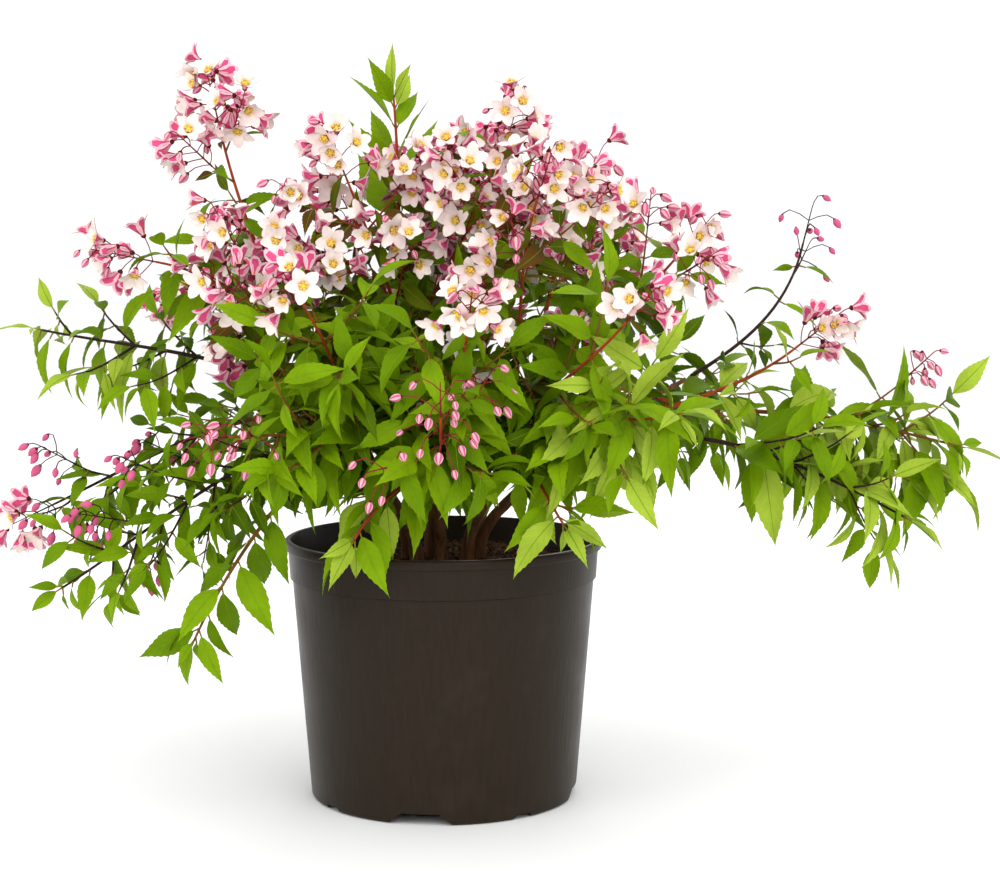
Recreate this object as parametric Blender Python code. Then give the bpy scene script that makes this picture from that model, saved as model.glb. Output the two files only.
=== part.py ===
"""A deutzia in flower in its nursery pot, as separate solids.

The plant is one clump. Its stems stand on the soil, and each ends in a fork that carries boughs
and masses of foliage side by side. A mass is a leafy or flowering shoot: a stem that goes on from
its bough or fork, side twigs in pairs, leaves, and blossom or buds at the end.

Metres, +Z up. The origin is the middle of the pot's underside. The side with the arching arms to
left and right is seen from -Y, and bearings are degrees from +X, anticlockwise seen from above.
"""
import itertools
import math

import bmesh
import bpy
import numpy as np
from mathutils import Matrix, Vector

# Pot
POT_HEIGHT = 0.155
RIM_RADIUS = 0.095
COLLAR_HEIGHT = 0.0235
COLLAR_FOOT_RADIUS = 0.0918
WALL_TOP_RADIUS = 0.0904
BASE_RADIUS = 0.080
BASE_ROUND = 0.002
WALL = 0.0016
BEAD_HEIGHT = 0.0055
BEAD_NECK = 0.0014
BEAD_FILLET = 0.0007
COLLAR_LEDGE = 0.0006
LIP_ROUND = 0.0021
LIP_WIDTH = 0.0037
OVERCUT = 0.001
POT_SIDES = 38
SHARP_ANGLE = 35.0

# Drain notches in the foot of the pot: a large and a small one by turns
NOTCH_BEARING = 261.6
LARGE_NOTCH = {"foot": 0.0185, "top": 0.0110, "height": 0.0065}
SMALL_NOTCH = {"foot": 0.0070, "top": 0.0050, "height": 0.0025}
NOTCH_PAIRS = 4
NOTCH_INNER_RADIUS = 0.060
NOTCH_OUTER_RADIUS = 0.100

# Soil
SOIL_TOP = 0.142
SOIL_EDGE_DROP = 0.004
SOIL_FLAT_RADIUS = 0.050
GAP = 0.0003

# Stems
STEM_FOOT_RING = 0.021
STEM_RADII = (0.0046, 0.0037, 0.0034, 0.0036, 0.0043)
STEM_SIDES = 6
STEM_POINTS = len(STEM_RADII)
PORT_RADIUS = 0.0017
FORK_BEND = 0.5
FORK_TURNS = 8
ROUTE_POINTS = 61
ROUTE_SKIP = 3
ROOM_SHARE = 0.1
ARCH_PULL = 0.36

# Boughs
BOUGH_TIP_RADIUS = 0.0014
BOUGH_SHARE = 0.46
BOUGH_SIDES = 5
BOUGH_POINTS = 6

# Masses of foliage
TWIG_RADIUS = 0.0014
TWIG_TIP_RADIUS = 0.0008
SIDE_TWIG_RADIUS = 0.0011
SIDE_TWIG_TIP_RADIUS = 0.0007
AXIS_POINTS = 6
NODE_SPACING = 0.028
FEWEST_NODES = 4
NODE_SPREAD = 12.0
SIZE_SPREAD = (0.85, 1.15)
FOOT_SIZE = 1.1
TIP_SIZE = 0.7
SIDE_TWIG_ANGLE = 50.0
SIDE_TWIG_LENGTH = 0.052
SIDE_TWIG_LIMIT = 0.8
BUDDING_FROM = 0.55
LEAF_LENGTH = 0.068
LEAF_WIDTH = 0.42
LEAF_KEEL = 0.030
LEAF_WIDEST = 0.40
LEAF_DROOP = 0.12
LEAF_HANG = 0.55
LEAF_LEAN = 0.55
LEAF_TILT = 40.0
LEAF_FREE = 0.15
LEAF_SPOTS = (0.35, 0.7)
LEAF_EDGE_SPOT = 0.6
LEAF_SHARES = (1.0, 0.8, 0.65, 0.52)
LEAF_TURNS = (0, 30, -30, 60, -60, 90, -90)
LEAVES_IN_A_MASS = 14
LIGHT_OUTWARD = 0.8
LEVEL_LIMIT = 0.15
PAIR_STEP = 0.0012
END_STEP = 0.002
END_PAIR_STEP = 0.004
TWIG_SHARES = (1.0, 0.75, 0.55)
TWIG_SPOTS = (0.3, 0.65, 1.0)
TWIG_TIP_PAIR = 0.85
TWIG_MIDDLE_PAIR = 0.45
ROOT_SINK = 0.0001
HEAD_FLOWERS = 3
SIDE_HEAD_FLOWERS = 2
HEAD_STEP = 0.006
HEAD_LEAN = (0.3, 0.5)
HEAD_NOD = 0.1
BLOSSOM_LENGTH = 0.021
BLOSSOM_RADIUS = 0.0105
BLOSSOM_ROOT = 0.0002
BLOSSOM_STALK = 0.25
BLOSSOM_NECK = 0.0009
BLOSSOM_NOTCH = 0.72
BLOSSOM_WAIST = 0.45
BLOSSOM_CUP = 0.45
BLOSSOM_FREE = 0.004
BLOSSOM_CLEARANCE = 0.8
STALK_SIDES = 3
PETAL_POINTS = 10
BUD_LENGTH = 0.013
BUD_WIDTH = 0.0050
BUD_WIDEST = 0.62
BUD_SIDES = 4
OWN_SPACE_MARGIN = 0.0022
LIMB_MARGIN = 0.0012
POT_MARGIN = 0.003
CROWD_MARGIN = 0.002
SPACE_POINTS = 25
LIMB_POINTS = 50
SEED = 417

# Stems: bearing, reach and height of the fork, and the climb in degrees that it bends towards
STEMS = {
    "left": (186, 0.050, 0.205, 56),
    "left_front": (222, 0.052, 0.198, 56),
    "front": (268, 0.050, 0.190, 62),
    "right_front": (312, 0.052, 0.200, 62),
    "right": (352, 0.056, 0.192, 30),
    "right_back": (28, 0.050, 0.212, 62),
    "middle": (175, 0.012, 0.246, 62),
    "back": (112, 0.052, 0.202, 56),
}

# Masses: stem, whether a bough leads to it, bearing, reach and height of the tip, climb at the tip
# in degrees, spread of its side twigs, and what it ends in
MASSES = {
    "left_tall": ("left", True, 180, 0.132, 0.402, 78, 0.4, "flowers"),
    "left_high": ("left", True, 190, 0.168, 0.320, 10, 0.6, "flowers"),
    "left_arm": ("left", True, 184, 0.236, 0.280, 12, 0.8, "leaves"),
    "left_low": ("left", True, 187, 0.230, 0.178, -25, 0.7, "flowers"),
    "left_fan": ("left_front", False, 198, 0.226, 0.136, -30, 1.0, "leaves"),
    "left_droop": ("left_front", True, 216, 0.168, 0.112, -62, 0.5, "leaves"),
    "left_mid": ("left_front", False, 206, 0.126, 0.325, 60, 0.9, "flowers"),
    "left_inner": ("left_front", False, 238, 0.138, 0.300, 45, 1.0, "flowers"),
    "left_bank": ("front", False, 229, 0.171, 0.228, 4, 1.0, "buds"),
    "front_left": ("front", False, 248, 0.122, 0.170, -35, 0.6, "leaves"),
    "front_mid": ("front", False, 271, 0.142, 0.240, 45, 0.9, "buds"),
    "front_high": ("front", False, 277, 0.140, 0.288, 45, 1.0, "flowers"),
    "front_right": ("right_front", False, 302, 0.130, 0.178, -35, 0.6, "leaves"),
    "right_bank": ("right_front", False, 316, 0.180, 0.240, 15, 0.9, "leaves"),
    "right_inner": ("right_front", False, 308, 0.165, 0.290, 40, 1.0, "flowers"),
    "right_mid": ("right_front", False, 304, 0.098, 0.356, 60, 1.0, "flowers"),
    "right_arm": ("right", True, 356, 0.304, 0.212, -14, 0.9, "leaves"),
    "right_low": ("right", True, 346, 0.272, 0.176, -28, 0.9, "leaves"),
    "right_flower": ("right", True, 350, 0.210, 0.272, 40, 0.6, "flowers"),
    "right_top": ("right_back", True, 352, 0.138, 0.322, 50, 0.9, "flowers"),
    "right_tall": ("right", True, 8, 0.220, 0.330, 78, 0.4, "buds"),
    "top_right": ("right_back", True, 8, 0.082, 0.356, 65, 0.7, "flowers"),
    "top_mid": ("middle", False, 340, 0.040, 0.388, 75, 1.0, "flowers"),
    "top_left": ("middle", False, 215, 0.066, 0.368, 65, 0.9, "flowers"),
    "top_leafy": ("middle", True, 165, 0.030, 0.416, 85, 0.6, "leaves"),
    "back_top": ("middle", True, 85, 0.080, 0.372, 60, 1.0, "flowers"),
    "back_right_high": ("right_back", True, 52, 0.168, 0.310, 40, 1.0, "flowers"),
    "back_right_low": ("right_back", True, 38, 0.232, 0.215, -10, 1.0, "leaves"),
    "back_low": ("back", True, 88, 0.212, 0.196, -20, 1.0, "leaves"),
    "back_high": ("back", False, 98, 0.158, 0.300, 40, 1.0, "flowers"),
    "back_left_high": ("back", True, 142, 0.160, 0.300, 45, 1.0, "flowers"),
    "back_left_low": ("back", True, 136, 0.222, 0.206, -10, 1.0, "leaves"),
}

# Colours: base colour, roughness
COLOURS = {
    "pot": ((0.030, 0.022, 0.017), 0.45),
    "soil": ((0.040, 0.020, 0.010), 0.95),
    "bark": ((0.130, 0.060, 0.030), 0.80),
    "leaves": ((0.150, 0.330, 0.040), 0.55),
    "flowers": ((0.480, 0.330, 0.180), 0.60),
    "buds": ((0.250, 0.320, 0.080), 0.60),
}


def clear_scene():
    for old in list(bpy.data.objects):
        bpy.data.objects.remove(old, do_unlink=True)


def make_materials():
    made = {}
    for name, (colour, roughness) in COLOURS.items():
        material = bpy.data.materials.new(name)
        material.use_nodes = True
        shader = material.node_tree.nodes["Principled BSDF"]
        shader.inputs["Base Color"].default_value = (*colour, 1.0)
        shader.inputs["Roughness"].default_value = roughness
        shader.inputs["Metallic"].default_value = 0.0
        made[name] = material
    return made


def add_object(name, vertices, faces, material, collection=None):
    """A closed solid as an object, with its faces turned outwards."""
    mesh = bpy.data.meshes.new(name)
    mesh.from_pydata([tuple(v) for v in vertices], [], faces)
    shape = bmesh.new()
    shape.from_mesh(mesh)
    bmesh.ops.recalc_face_normals(shape, faces=shape.faces)
    shape.to_mesh(mesh)
    shape.free()
    mesh.materials.append(material)
    made = bpy.data.objects.new(name, mesh)
    (collection or bpy.context.scene.collection).objects.link(made)
    return made


def shade_round(body):
    body.data.shade_smooth()
    body.data.set_sharp_from_angle(angle=math.radians(SHARP_ANGLE))


def polar(bearing, reach, height):
    angle = math.radians(bearing)
    return Vector((reach * math.cos(angle), reach * math.sin(angle), height))


def heading(bearing, climb):
    rise = math.radians(climb)
    flat = polar(bearing, math.cos(rise), 0.0)
    return Vector((flat.x, flat.y, math.sin(rise)))


def arch(start, start_way, end, end_way, count):
    """Points on a curve that leaves start along start_way and reaches end along end_way."""
    span = (end - start).length
    first = start + start_way * span * ARCH_PULL
    second = end - end_way * span * ARCH_PULL
    points = []
    for step in range(count):
        t = step / (count - 1)
        s = 1.0 - t
        points.append(start * s**3 + first * 3 * t * s**2 + second * 3 * t**2 * s + end * t**3)
    return points


def ways_along(points):
    """The unit direction of a line of points at each of them."""
    last = len(points) - 1
    return [(points[min(i + 1, last)] - points[max(i - 1, 0)]).normalized() for i in range(last + 1)]


def tube(points, radii, sides, start_way=None, end_way=None):
    """Vertices and faces of a closed tube with flat ends, square to start_way and end_way."""
    ways = ways_along(points)
    ways[0] = start_way or ways[0]
    ways[-1] = end_way or ways[-1]
    across = ways[0].orthogonal().normalized()
    vertices = []
    for point, way, radius in zip(points, ways, radii):
        across = (across - way * across.dot(way)).normalized()
        other = way.cross(across)
        for k in range(sides):
            turn = math.tau * k / sides
            vertices.append(point + (across * math.cos(turn) + other * math.sin(turn)) * radius)
    faces = [list(range(sides))]
    faces.append([len(vertices) - 1 - k for k in range(sides)])
    for ring in range(len(points) - 1):
        low = ring * sides
        for k in range(sides):
            after = (k + 1) % sides
            faces.append([low + k, low + after, low + sides + after, low + sides + k])
    return vertices, faces


def taper(first, last, count):
    return [first + (last - first) * i / (count - 1) for i in range(count)]


def turned(name, profile, material, sides=POT_SIDES):
    """A closed solid turned from a profile of radius and height that starts and ends on the axis."""
    vertices = []
    rings = []
    for radius, height in profile:
        if radius == 0.0:
            rings.append([len(vertices)])
            vertices.append(Vector((0.0, 0.0, height)))
            continue
        rings.append(list(range(len(vertices), len(vertices) + sides)))
        for k in range(sides):
            vertices.append(polar(360.0 * k / sides, radius, height))
    faces = []
    for low, high in zip(rings, rings[1:]):
        for k in range(sides):
            after = (k + 1) % sides
            corners = [low[k % len(low)], low[after % len(low)]]
            corners += [high[after % len(high)], high[k % len(high)]]
            faces.append(list(dict.fromkeys(corners)))
    return add_object(name, vertices, faces, material)


def notch_block(name, bearing, notch, grow, material):
    """A block with sloping ends that stands for one drain notch, larger by grow on every side."""
    top = notch["height"] + grow
    slope = (notch["foot"] - notch["top"]) / notch["height"]
    below = -2 * (grow + OVERCUT)
    half_top = notch["top"] + grow
    half_foot = half_top + slope * (top - below)
    outline = [(-half_foot, below), (half_foot, below), (half_top, top), (-half_top, top)]
    vertices = []
    for radius in (NOTCH_INNER_RADIUS - grow, NOTCH_OUTER_RADIUS + grow):
        for side, height in outline:
            vertices.append(Matrix.Rotation(math.radians(bearing), 4, "Z") @ Vector((radius, side, height)))
    faces = [[0, 1, 2, 3], [4, 5, 6, 7]]
    for k in range(4):
        after = (k + 1) % 4
        faces.append([k, after, 4 + after, 4 + k])
    return add_object(name, vertices, faces, material)


def notch_blocks(grow, material):
    blocks = []
    for k in range(NOTCH_PAIRS):
        bearing = NOTCH_BEARING + 360.0 * k / NOTCH_PAIRS
        blocks.append(notch_block("large_notch", bearing, LARGE_NOTCH, grow, material))
        half_way = bearing + 180.0 / NOTCH_PAIRS
        blocks.append(notch_block("small_notch", half_way, SMALL_NOTCH, grow, material))
    return blocks


def apply_modifiers(body):
    bpy.context.view_layer.update()
    graph = bpy.context.evaluated_depsgraph_get()
    mesh = bpy.data.meshes.new_from_object(body.evaluated_get(graph))
    body.modifiers.clear()
    body.data = mesh


def cut_away(body, cutters):
    """Takes each cutter out of the body, then removes the cutter."""
    for cutter in cutters:
        cut = body.modifiers.new("cut", "BOOLEAN")
        cut.operation = "DIFFERENCE"
        cut.object = cutter
        apply_modifiers(body)
        bpy.data.objects.remove(cutter, do_unlink=True)


def inner_profile(clear):
    """The pot's inside, drawn in from its walls by clear, up to its mouth."""
    floor = WALL + clear
    foot = BASE_RADIUS - WALL - clear
    shoulder = POT_HEIGHT - COLLAR_HEIGHT
    return [
        (0.0, floor),
        (foot - BASE_ROUND, floor),
        (foot, floor + BASE_ROUND),
        (WALL_TOP_RADIUS - WALL - clear, shoulder - WALL),
        (COLLAR_FOOT_RADIUS - WALL - clear, shoulder + WALL),
    ]


def make_pot(materials):
    shoulder = POT_HEIGHT - COLLAR_HEIGHT
    bead_foot = POT_HEIGHT - BEAD_HEIGHT
    neck_radius = RIM_RADIUS - BEAD_NECK
    lip_corner = LIP_ROUND * (1.0 - math.cos(math.radians(45)))
    outline = [
        (0.0, 0.0),
        (BASE_RADIUS - BASE_ROUND, 0.0),
        (BASE_RADIUS, BASE_ROUND),
        (WALL_TOP_RADIUS, shoulder),
        (COLLAR_FOOT_RADIUS, shoulder + COLLAR_LEDGE),
        (neck_radius - BEAD_FILLET, bead_foot - BEAD_FILLET),
        (RIM_RADIUS, bead_foot + BEAD_FILLET),
        (RIM_RADIUS, POT_HEIGHT - LIP_ROUND),
        (RIM_RADIUS - lip_corner, POT_HEIGHT - lip_corner),
        (RIM_RADIUS - LIP_ROUND, POT_HEIGHT),
        (0.0, POT_HEIGHT),
    ]
    pot = turned("pot", outline, materials["pot"])
    mouth = [(RIM_RADIUS - LIP_WIDTH, POT_HEIGHT + OVERCUT), (0.0, POT_HEIGHT + OVERCUT)]
    hollow = turned("hollow", inner_profile(0.0) + mouth, materials["pot"])
    cut_away(hollow, notch_blocks(WALL, materials["pot"]))
    cut_away(pot, [hollow] + notch_blocks(0.0, materials["pot"]))
    shade_round(pot)
    return pot


def make_soil(materials):
    """The soil fills the pot, and steps up over the drain notches."""
    inside = inner_profile(GAP)
    step_height = LARGE_NOTCH["height"] + WALL + GAP
    step_radius = NOTCH_INNER_RADIUS - WALL - GAP
    wall_foot = inside[2]
    wall_top = inside[3]
    collar = inside[4]
    share = (step_height - wall_foot[1]) / (wall_top[1] - wall_foot[1])
    step_wall = wall_foot[0] + share * (wall_top[0] - wall_foot[0])
    outline = [
        inside[0],
        (step_radius, inside[0][1]),
        (step_radius, step_height),
        (step_wall, step_height),
        wall_top,
        collar,
        (collar[0], SOIL_TOP - SOIL_EDGE_DROP),
        (SOIL_FLAT_RADIUS, SOIL_TOP),
        (0.0, SOIL_TOP),
    ]
    return turned("soil", outline, materials["soil"])


def port_ring(centre, way, count, turn, radius):
    """Starts for limbs that leave a fork side by side, in a ring turned by turn."""
    if count == 1:
        return [centre + way * GAP]
    across = way.orthogonal().normalized()
    other = way.cross(across)
    ring = (radius + GAP / 2) / math.sin(math.pi / count)
    starts = []
    for place in range(count):
        angle = turn + math.tau * place / count
        starts.append(centre + way * GAP + (across * math.cos(angle) + other * math.sin(angle)) * ring)
    return starts


def fork_routes(centre, way, names):
    """The routes of the limbs that leave a fork, from the starts that keep them furthest apart."""
    best = None
    best_room = -1.0
    for order in itertools.permutations(range(len(names))):
        for turn in np.linspace(0.0, math.tau / len(names), FORK_TURNS, endpoint=False):
            starts = port_ring(centre, way, len(names), turn, PORT_RADIUS)
            routes = []
            for name, place in zip(names, order):
                tip, tip_way = tip_of(name)
                routes.append(arch(starts[place], way, tip, tip_way, ROUTE_POINTS))
            room = room_between(routes)
            if room > best_room:
                best = routes
                best_room = room
    return best


def room_between(routes):
    """How well routes from one fork keep apart in their first third: the sum of the least gaps."""
    third = ROUTE_POINTS // 3
    lines = [np.array([tuple(p) for p in route[ROUTE_SKIP:third]]) for route in routes]
    least = []
    for a, b in itertools.combinations(lines, 2):
        gaps = np.linalg.norm(a[:, None, :] - b[None, :, :], axis=2)
        least.append(gaps.min())
    return min(least) + ROOM_SHARE * sum(least) if least else 0.0


def tip_of(name):
    _, _, bearing, reach, height, climb, _, _ = MASSES[name]
    return polar(bearing, reach, height), heading(bearing, climb)


def make_limbs(materials):
    """Builds stems and boughs. Returns each mass's stem line and starting way, and all limb lines."""
    limbs = []
    axes = {}
    starts = {}
    for stem, (bearing, reach, height, climb) in STEMS.items():
        foot_ring = STEM_FOOT_RING if reach > STEM_FOOT_RING else reach / 2
        foot = polar(bearing, foot_ring, SOIL_TOP + GAP)
        fork = polar(bearing, reach, height)
        fork_way = (fork - foot).normalized().lerp(heading(bearing, climb), FORK_BEND).normalized()
        line = arch(foot, Vector((0, 0, 1)), fork, fork_way, STEM_POINTS)
        body = add_object("stem_" + stem, *flat_footed(line, STEM_RADII, fork_way), materials["bark"])
        shade_round(body)
        limbs.append((line, STEM_RADII))

        names = [name for name, row in MASSES.items() if row[0] == stem]
        for name, route in zip(names, fork_routes(fork, fork_way, names)):
            if not MASSES[name][1]:
                axes[name] = respaced(route, AXIS_POINTS)
                starts[name] = fork_way
                continue
            cut = round(BOUGH_SHARE * len(route))
            bough_line = respaced(route[:cut + 1], BOUGH_POINTS)
            end_way = (route[cut + 1] - route[cut]).normalized()
            bough_radii = taper(PORT_RADIUS, BOUGH_TIP_RADIUS, BOUGH_POINTS)
            shape = tube(bough_line, bough_radii, BOUGH_SIDES, fork_way, end_way)
            bough = add_object("bough_" + name, *shape, materials["bark"])
            shade_round(bough)
            limbs.append((bough_line, bough_radii))
            rest = [bough_line[-1] + end_way * GAP] + route[cut + 2:]
            axes[name] = respaced(rest, AXIS_POINTS)
            starts[name] = end_way
    return axes, starts, limbs


def flat_footed(line, radii, end_way):
    """A stem's tube, with its foot cut level."""
    vertices, faces = tube(line, radii, STEM_SIDES, None, end_way)
    for k in range(STEM_SIDES):
        vertices[k].z = line[0].z
    return vertices, faces


def respaced(points, count):
    """The same line with count points at even distances."""
    lengths = [0.0]
    for before, after in zip(points, points[1:]):
        lengths.append(lengths[-1] + (after - before).length)
    even = []
    for wanted in np.linspace(0.0, lengths[-1], count):
        k = int(np.searchsorted(lengths, wanted, side="right")) - 1
        k = min(k, len(points) - 2)
        share = (wanted - lengths[k]) / (lengths[k + 1] - lengths[k])
        even.append(points[k].lerp(points[k + 1], share))
    return even


class Space:
    """What a mass may fill: nearer to its own stem than to any other's, clear of limbs and pot."""

    def __init__(self, axes, limbs):
        self.axes = {}
        for name, line in axes.items():
            self.axes[name] = np.array([tuple(p) for p in respaced(line, SPACE_POINTS)])
        points = []
        radii = []
        for line, sizes in limbs:
            dense = respaced(line, LIMB_POINTS)
            points += [tuple(p) for p in dense]
            places = np.linspace(0, 1, LIMB_POINTS)
            radii += list(np.interp(places, np.linspace(0, 1, len(sizes)), sizes))
        self.limb_points = np.array(points)
        self.limb_radii = np.array(radii)

    def owns(self, name, points):
        """Whether every point is nearest to this mass's own stem, and clear of limbs, pot and soil."""
        spots = np.array([tuple(p) for p in points])
        own = nearest(spots, self.axes[name])
        for other, line in self.axes.items():
            if other != name and np.any(nearest(spots, line) - own < OWN_SPACE_MARGIN):
                return False
        reach = np.linalg.norm(spots[:, None, :] - self.limb_points[None, :, :], axis=2)
        if np.any(reach < self.limb_radii + LIMB_MARGIN):
            return False
        outward = np.hypot(spots[:, 0], spots[:, 1])
        beside = outward > RIM_RADIUS + POT_MARGIN
        above = spots[:, 2] > POT_HEIGHT + POT_MARGIN
        well_inside = (outward < RIM_RADIUS - 3 * WALL) & (spots[:, 2] > SOIL_TOP + POT_MARGIN)
        return bool(np.all(beside | above | well_inside))

    def limb_clear(self, root, along, up, length, half_width, depth):
        """Whether no stem or bough passes through a flat box that starts at root."""
        local = box_places(self.limb_points, root, along, up)
        margin = self.limb_radii + LIMB_MARGIN
        inside = (local[:, 0] > -margin) & (local[:, 0] < length + margin)
        inside &= np.abs(local[:, 1]) < half_width + margin
        inside &= np.abs(local[:, 2]) < depth + margin
        return not bool(np.any(inside))


def box_places(points, root, along, up):
    """Points as places along, across and above a flat box that starts at root."""
    axes = np.array([tuple(along), tuple(along.cross(up)), tuple(up)])
    return (points - np.array(tuple(root))) @ axes.T


def head_starts(end, way):
    """The two places near a twig's end that its blossoms start from by turns."""
    return [end - way * (END_STEP + HEAD_STEP * place) for place in range(2)]


def nearest(spots, line):
    return np.linalg.norm(spots[:, None, :] - line[None, :, :], axis=2).min(axis=1)


def blade_up(point, along, tilt):
    """The upper side of a blade: it faces up and away from the middle of the plant, tipped by tilt."""
    light = Vector((point.x, point.y, 0.0)).normalized() * LIGHT_OUTWARD + Vector((0, 0, 1))
    side = along.cross(light)
    if side.length < LEVEL_LIMIT:
        side = along.orthogonal()
    up = side.normalized().cross(along).normalized()
    return (Matrix.Rotation(tilt, 3, along) @ up).normalized()


def leaf_shape(root, along, up, length):
    """A leaf of six faces: pointed at both ends, keeled under its widest place, tip drooping."""
    side = along.cross(up)
    half_width = length * LEAF_WIDTH / 2
    middle = root + along * length * LEAF_WIDEST
    vertices = [
        root,
        middle + side * half_width,
        middle - side * half_width,
        middle - up * length * LEAF_KEEL,
        root + along * length - up * length * LEAF_DROOP,
    ]
    faces = []
    for end in (0, 4):
        for edge, after in ((1, 2), (2, 3), (3, 1)):
            faces.append([end, edge, after])
    return vertices, faces


def leaf_spots(vertices):
    """Places on a leaf, apart from its root, where its mass's space is tested."""
    root, left, right, keel, tip = vertices
    middle = left.lerp(right, 0.5)
    spots = [left, right, keel, middle, tip]
    spots.append(root.lerp(middle, 0.5))
    for edge in (left, right, middle):
        spots += [edge.lerp(tip, share) for share in LEAF_SPOTS]
    spots += [root.lerp(edge, LEAF_EDGE_SPOT) for edge in (left, right)]
    return spots


def spindle_shape(root, along, length, width):
    """A bud: four sides that swell from the root and close at the tip."""
    side = along.orthogonal().normalized()
    other = along.cross(side)
    middle = root + along * length * BUD_WIDEST
    vertices = [root, root + along * length]
    for k in range(BUD_SIDES):
        turn = math.tau * k / BUD_SIDES
        vertices.append(middle + (side * math.cos(turn) + other * math.sin(turn)) * width / 2)
    faces = []
    for end in (0, 1):
        for k in range(BUD_SIDES):
            faces.append([end, 2 + k, 2 + (k + 1) % BUD_SIDES])
    return vertices, faces


def blossom_shape(root, along, length, radius):
    """A flower: a three-sided stalk, and a cup of five pointed petals that widens from its end."""
    side = along.orthogonal().normalized()
    other = along.cross(side)
    vertices = [root + along * length * BLOSSOM_CUP]
    for height, size in ((0.0, BLOSSOM_ROOT), (length * BLOSSOM_STALK, BLOSSOM_NECK)):
        for k in range(STALK_SIDES):
            turn = math.tau * k / STALK_SIDES
            out = side * math.cos(turn) + other * math.sin(turn)
            vertices.append(root + along * height + out * size)
    for k in range(PETAL_POINTS):
        turn = math.tau * k / PETAL_POINTS
        out = side * math.cos(turn) + other * math.sin(turn)
        if k % 2 == 0:
            vertices.append(root + along * length + out * radius)
        else:
            vertices.append(root + along * length * BLOSSOM_NOTCH + out * radius * BLOSSOM_WAIST)
    neck = 1 + STALK_SIDES
    petals = neck + STALK_SIDES
    faces = [list(range(STALK_SIDES, 0, -1))]
    for k in range(STALK_SIDES):
        after = (k + 1) % STALK_SIDES
        faces.append([1 + k, 1 + after, neck + after, neck + k])
    for k in range(PETAL_POINTS):
        after = (k + 1) % PETAL_POINTS
        low = neck + round(k * STALK_SIDES / PETAL_POINTS) % STALK_SIDES
        low_after = neck + round((k + 1) * STALK_SIDES / PETAL_POINTS) % STALK_SIDES
        faces.append([0, petals + k, petals + after])
        faces.append([low, petals + k, petals + after])
        if low_after != low:
            faces.append([low, low_after, petals + after])
    return vertices, faces


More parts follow.
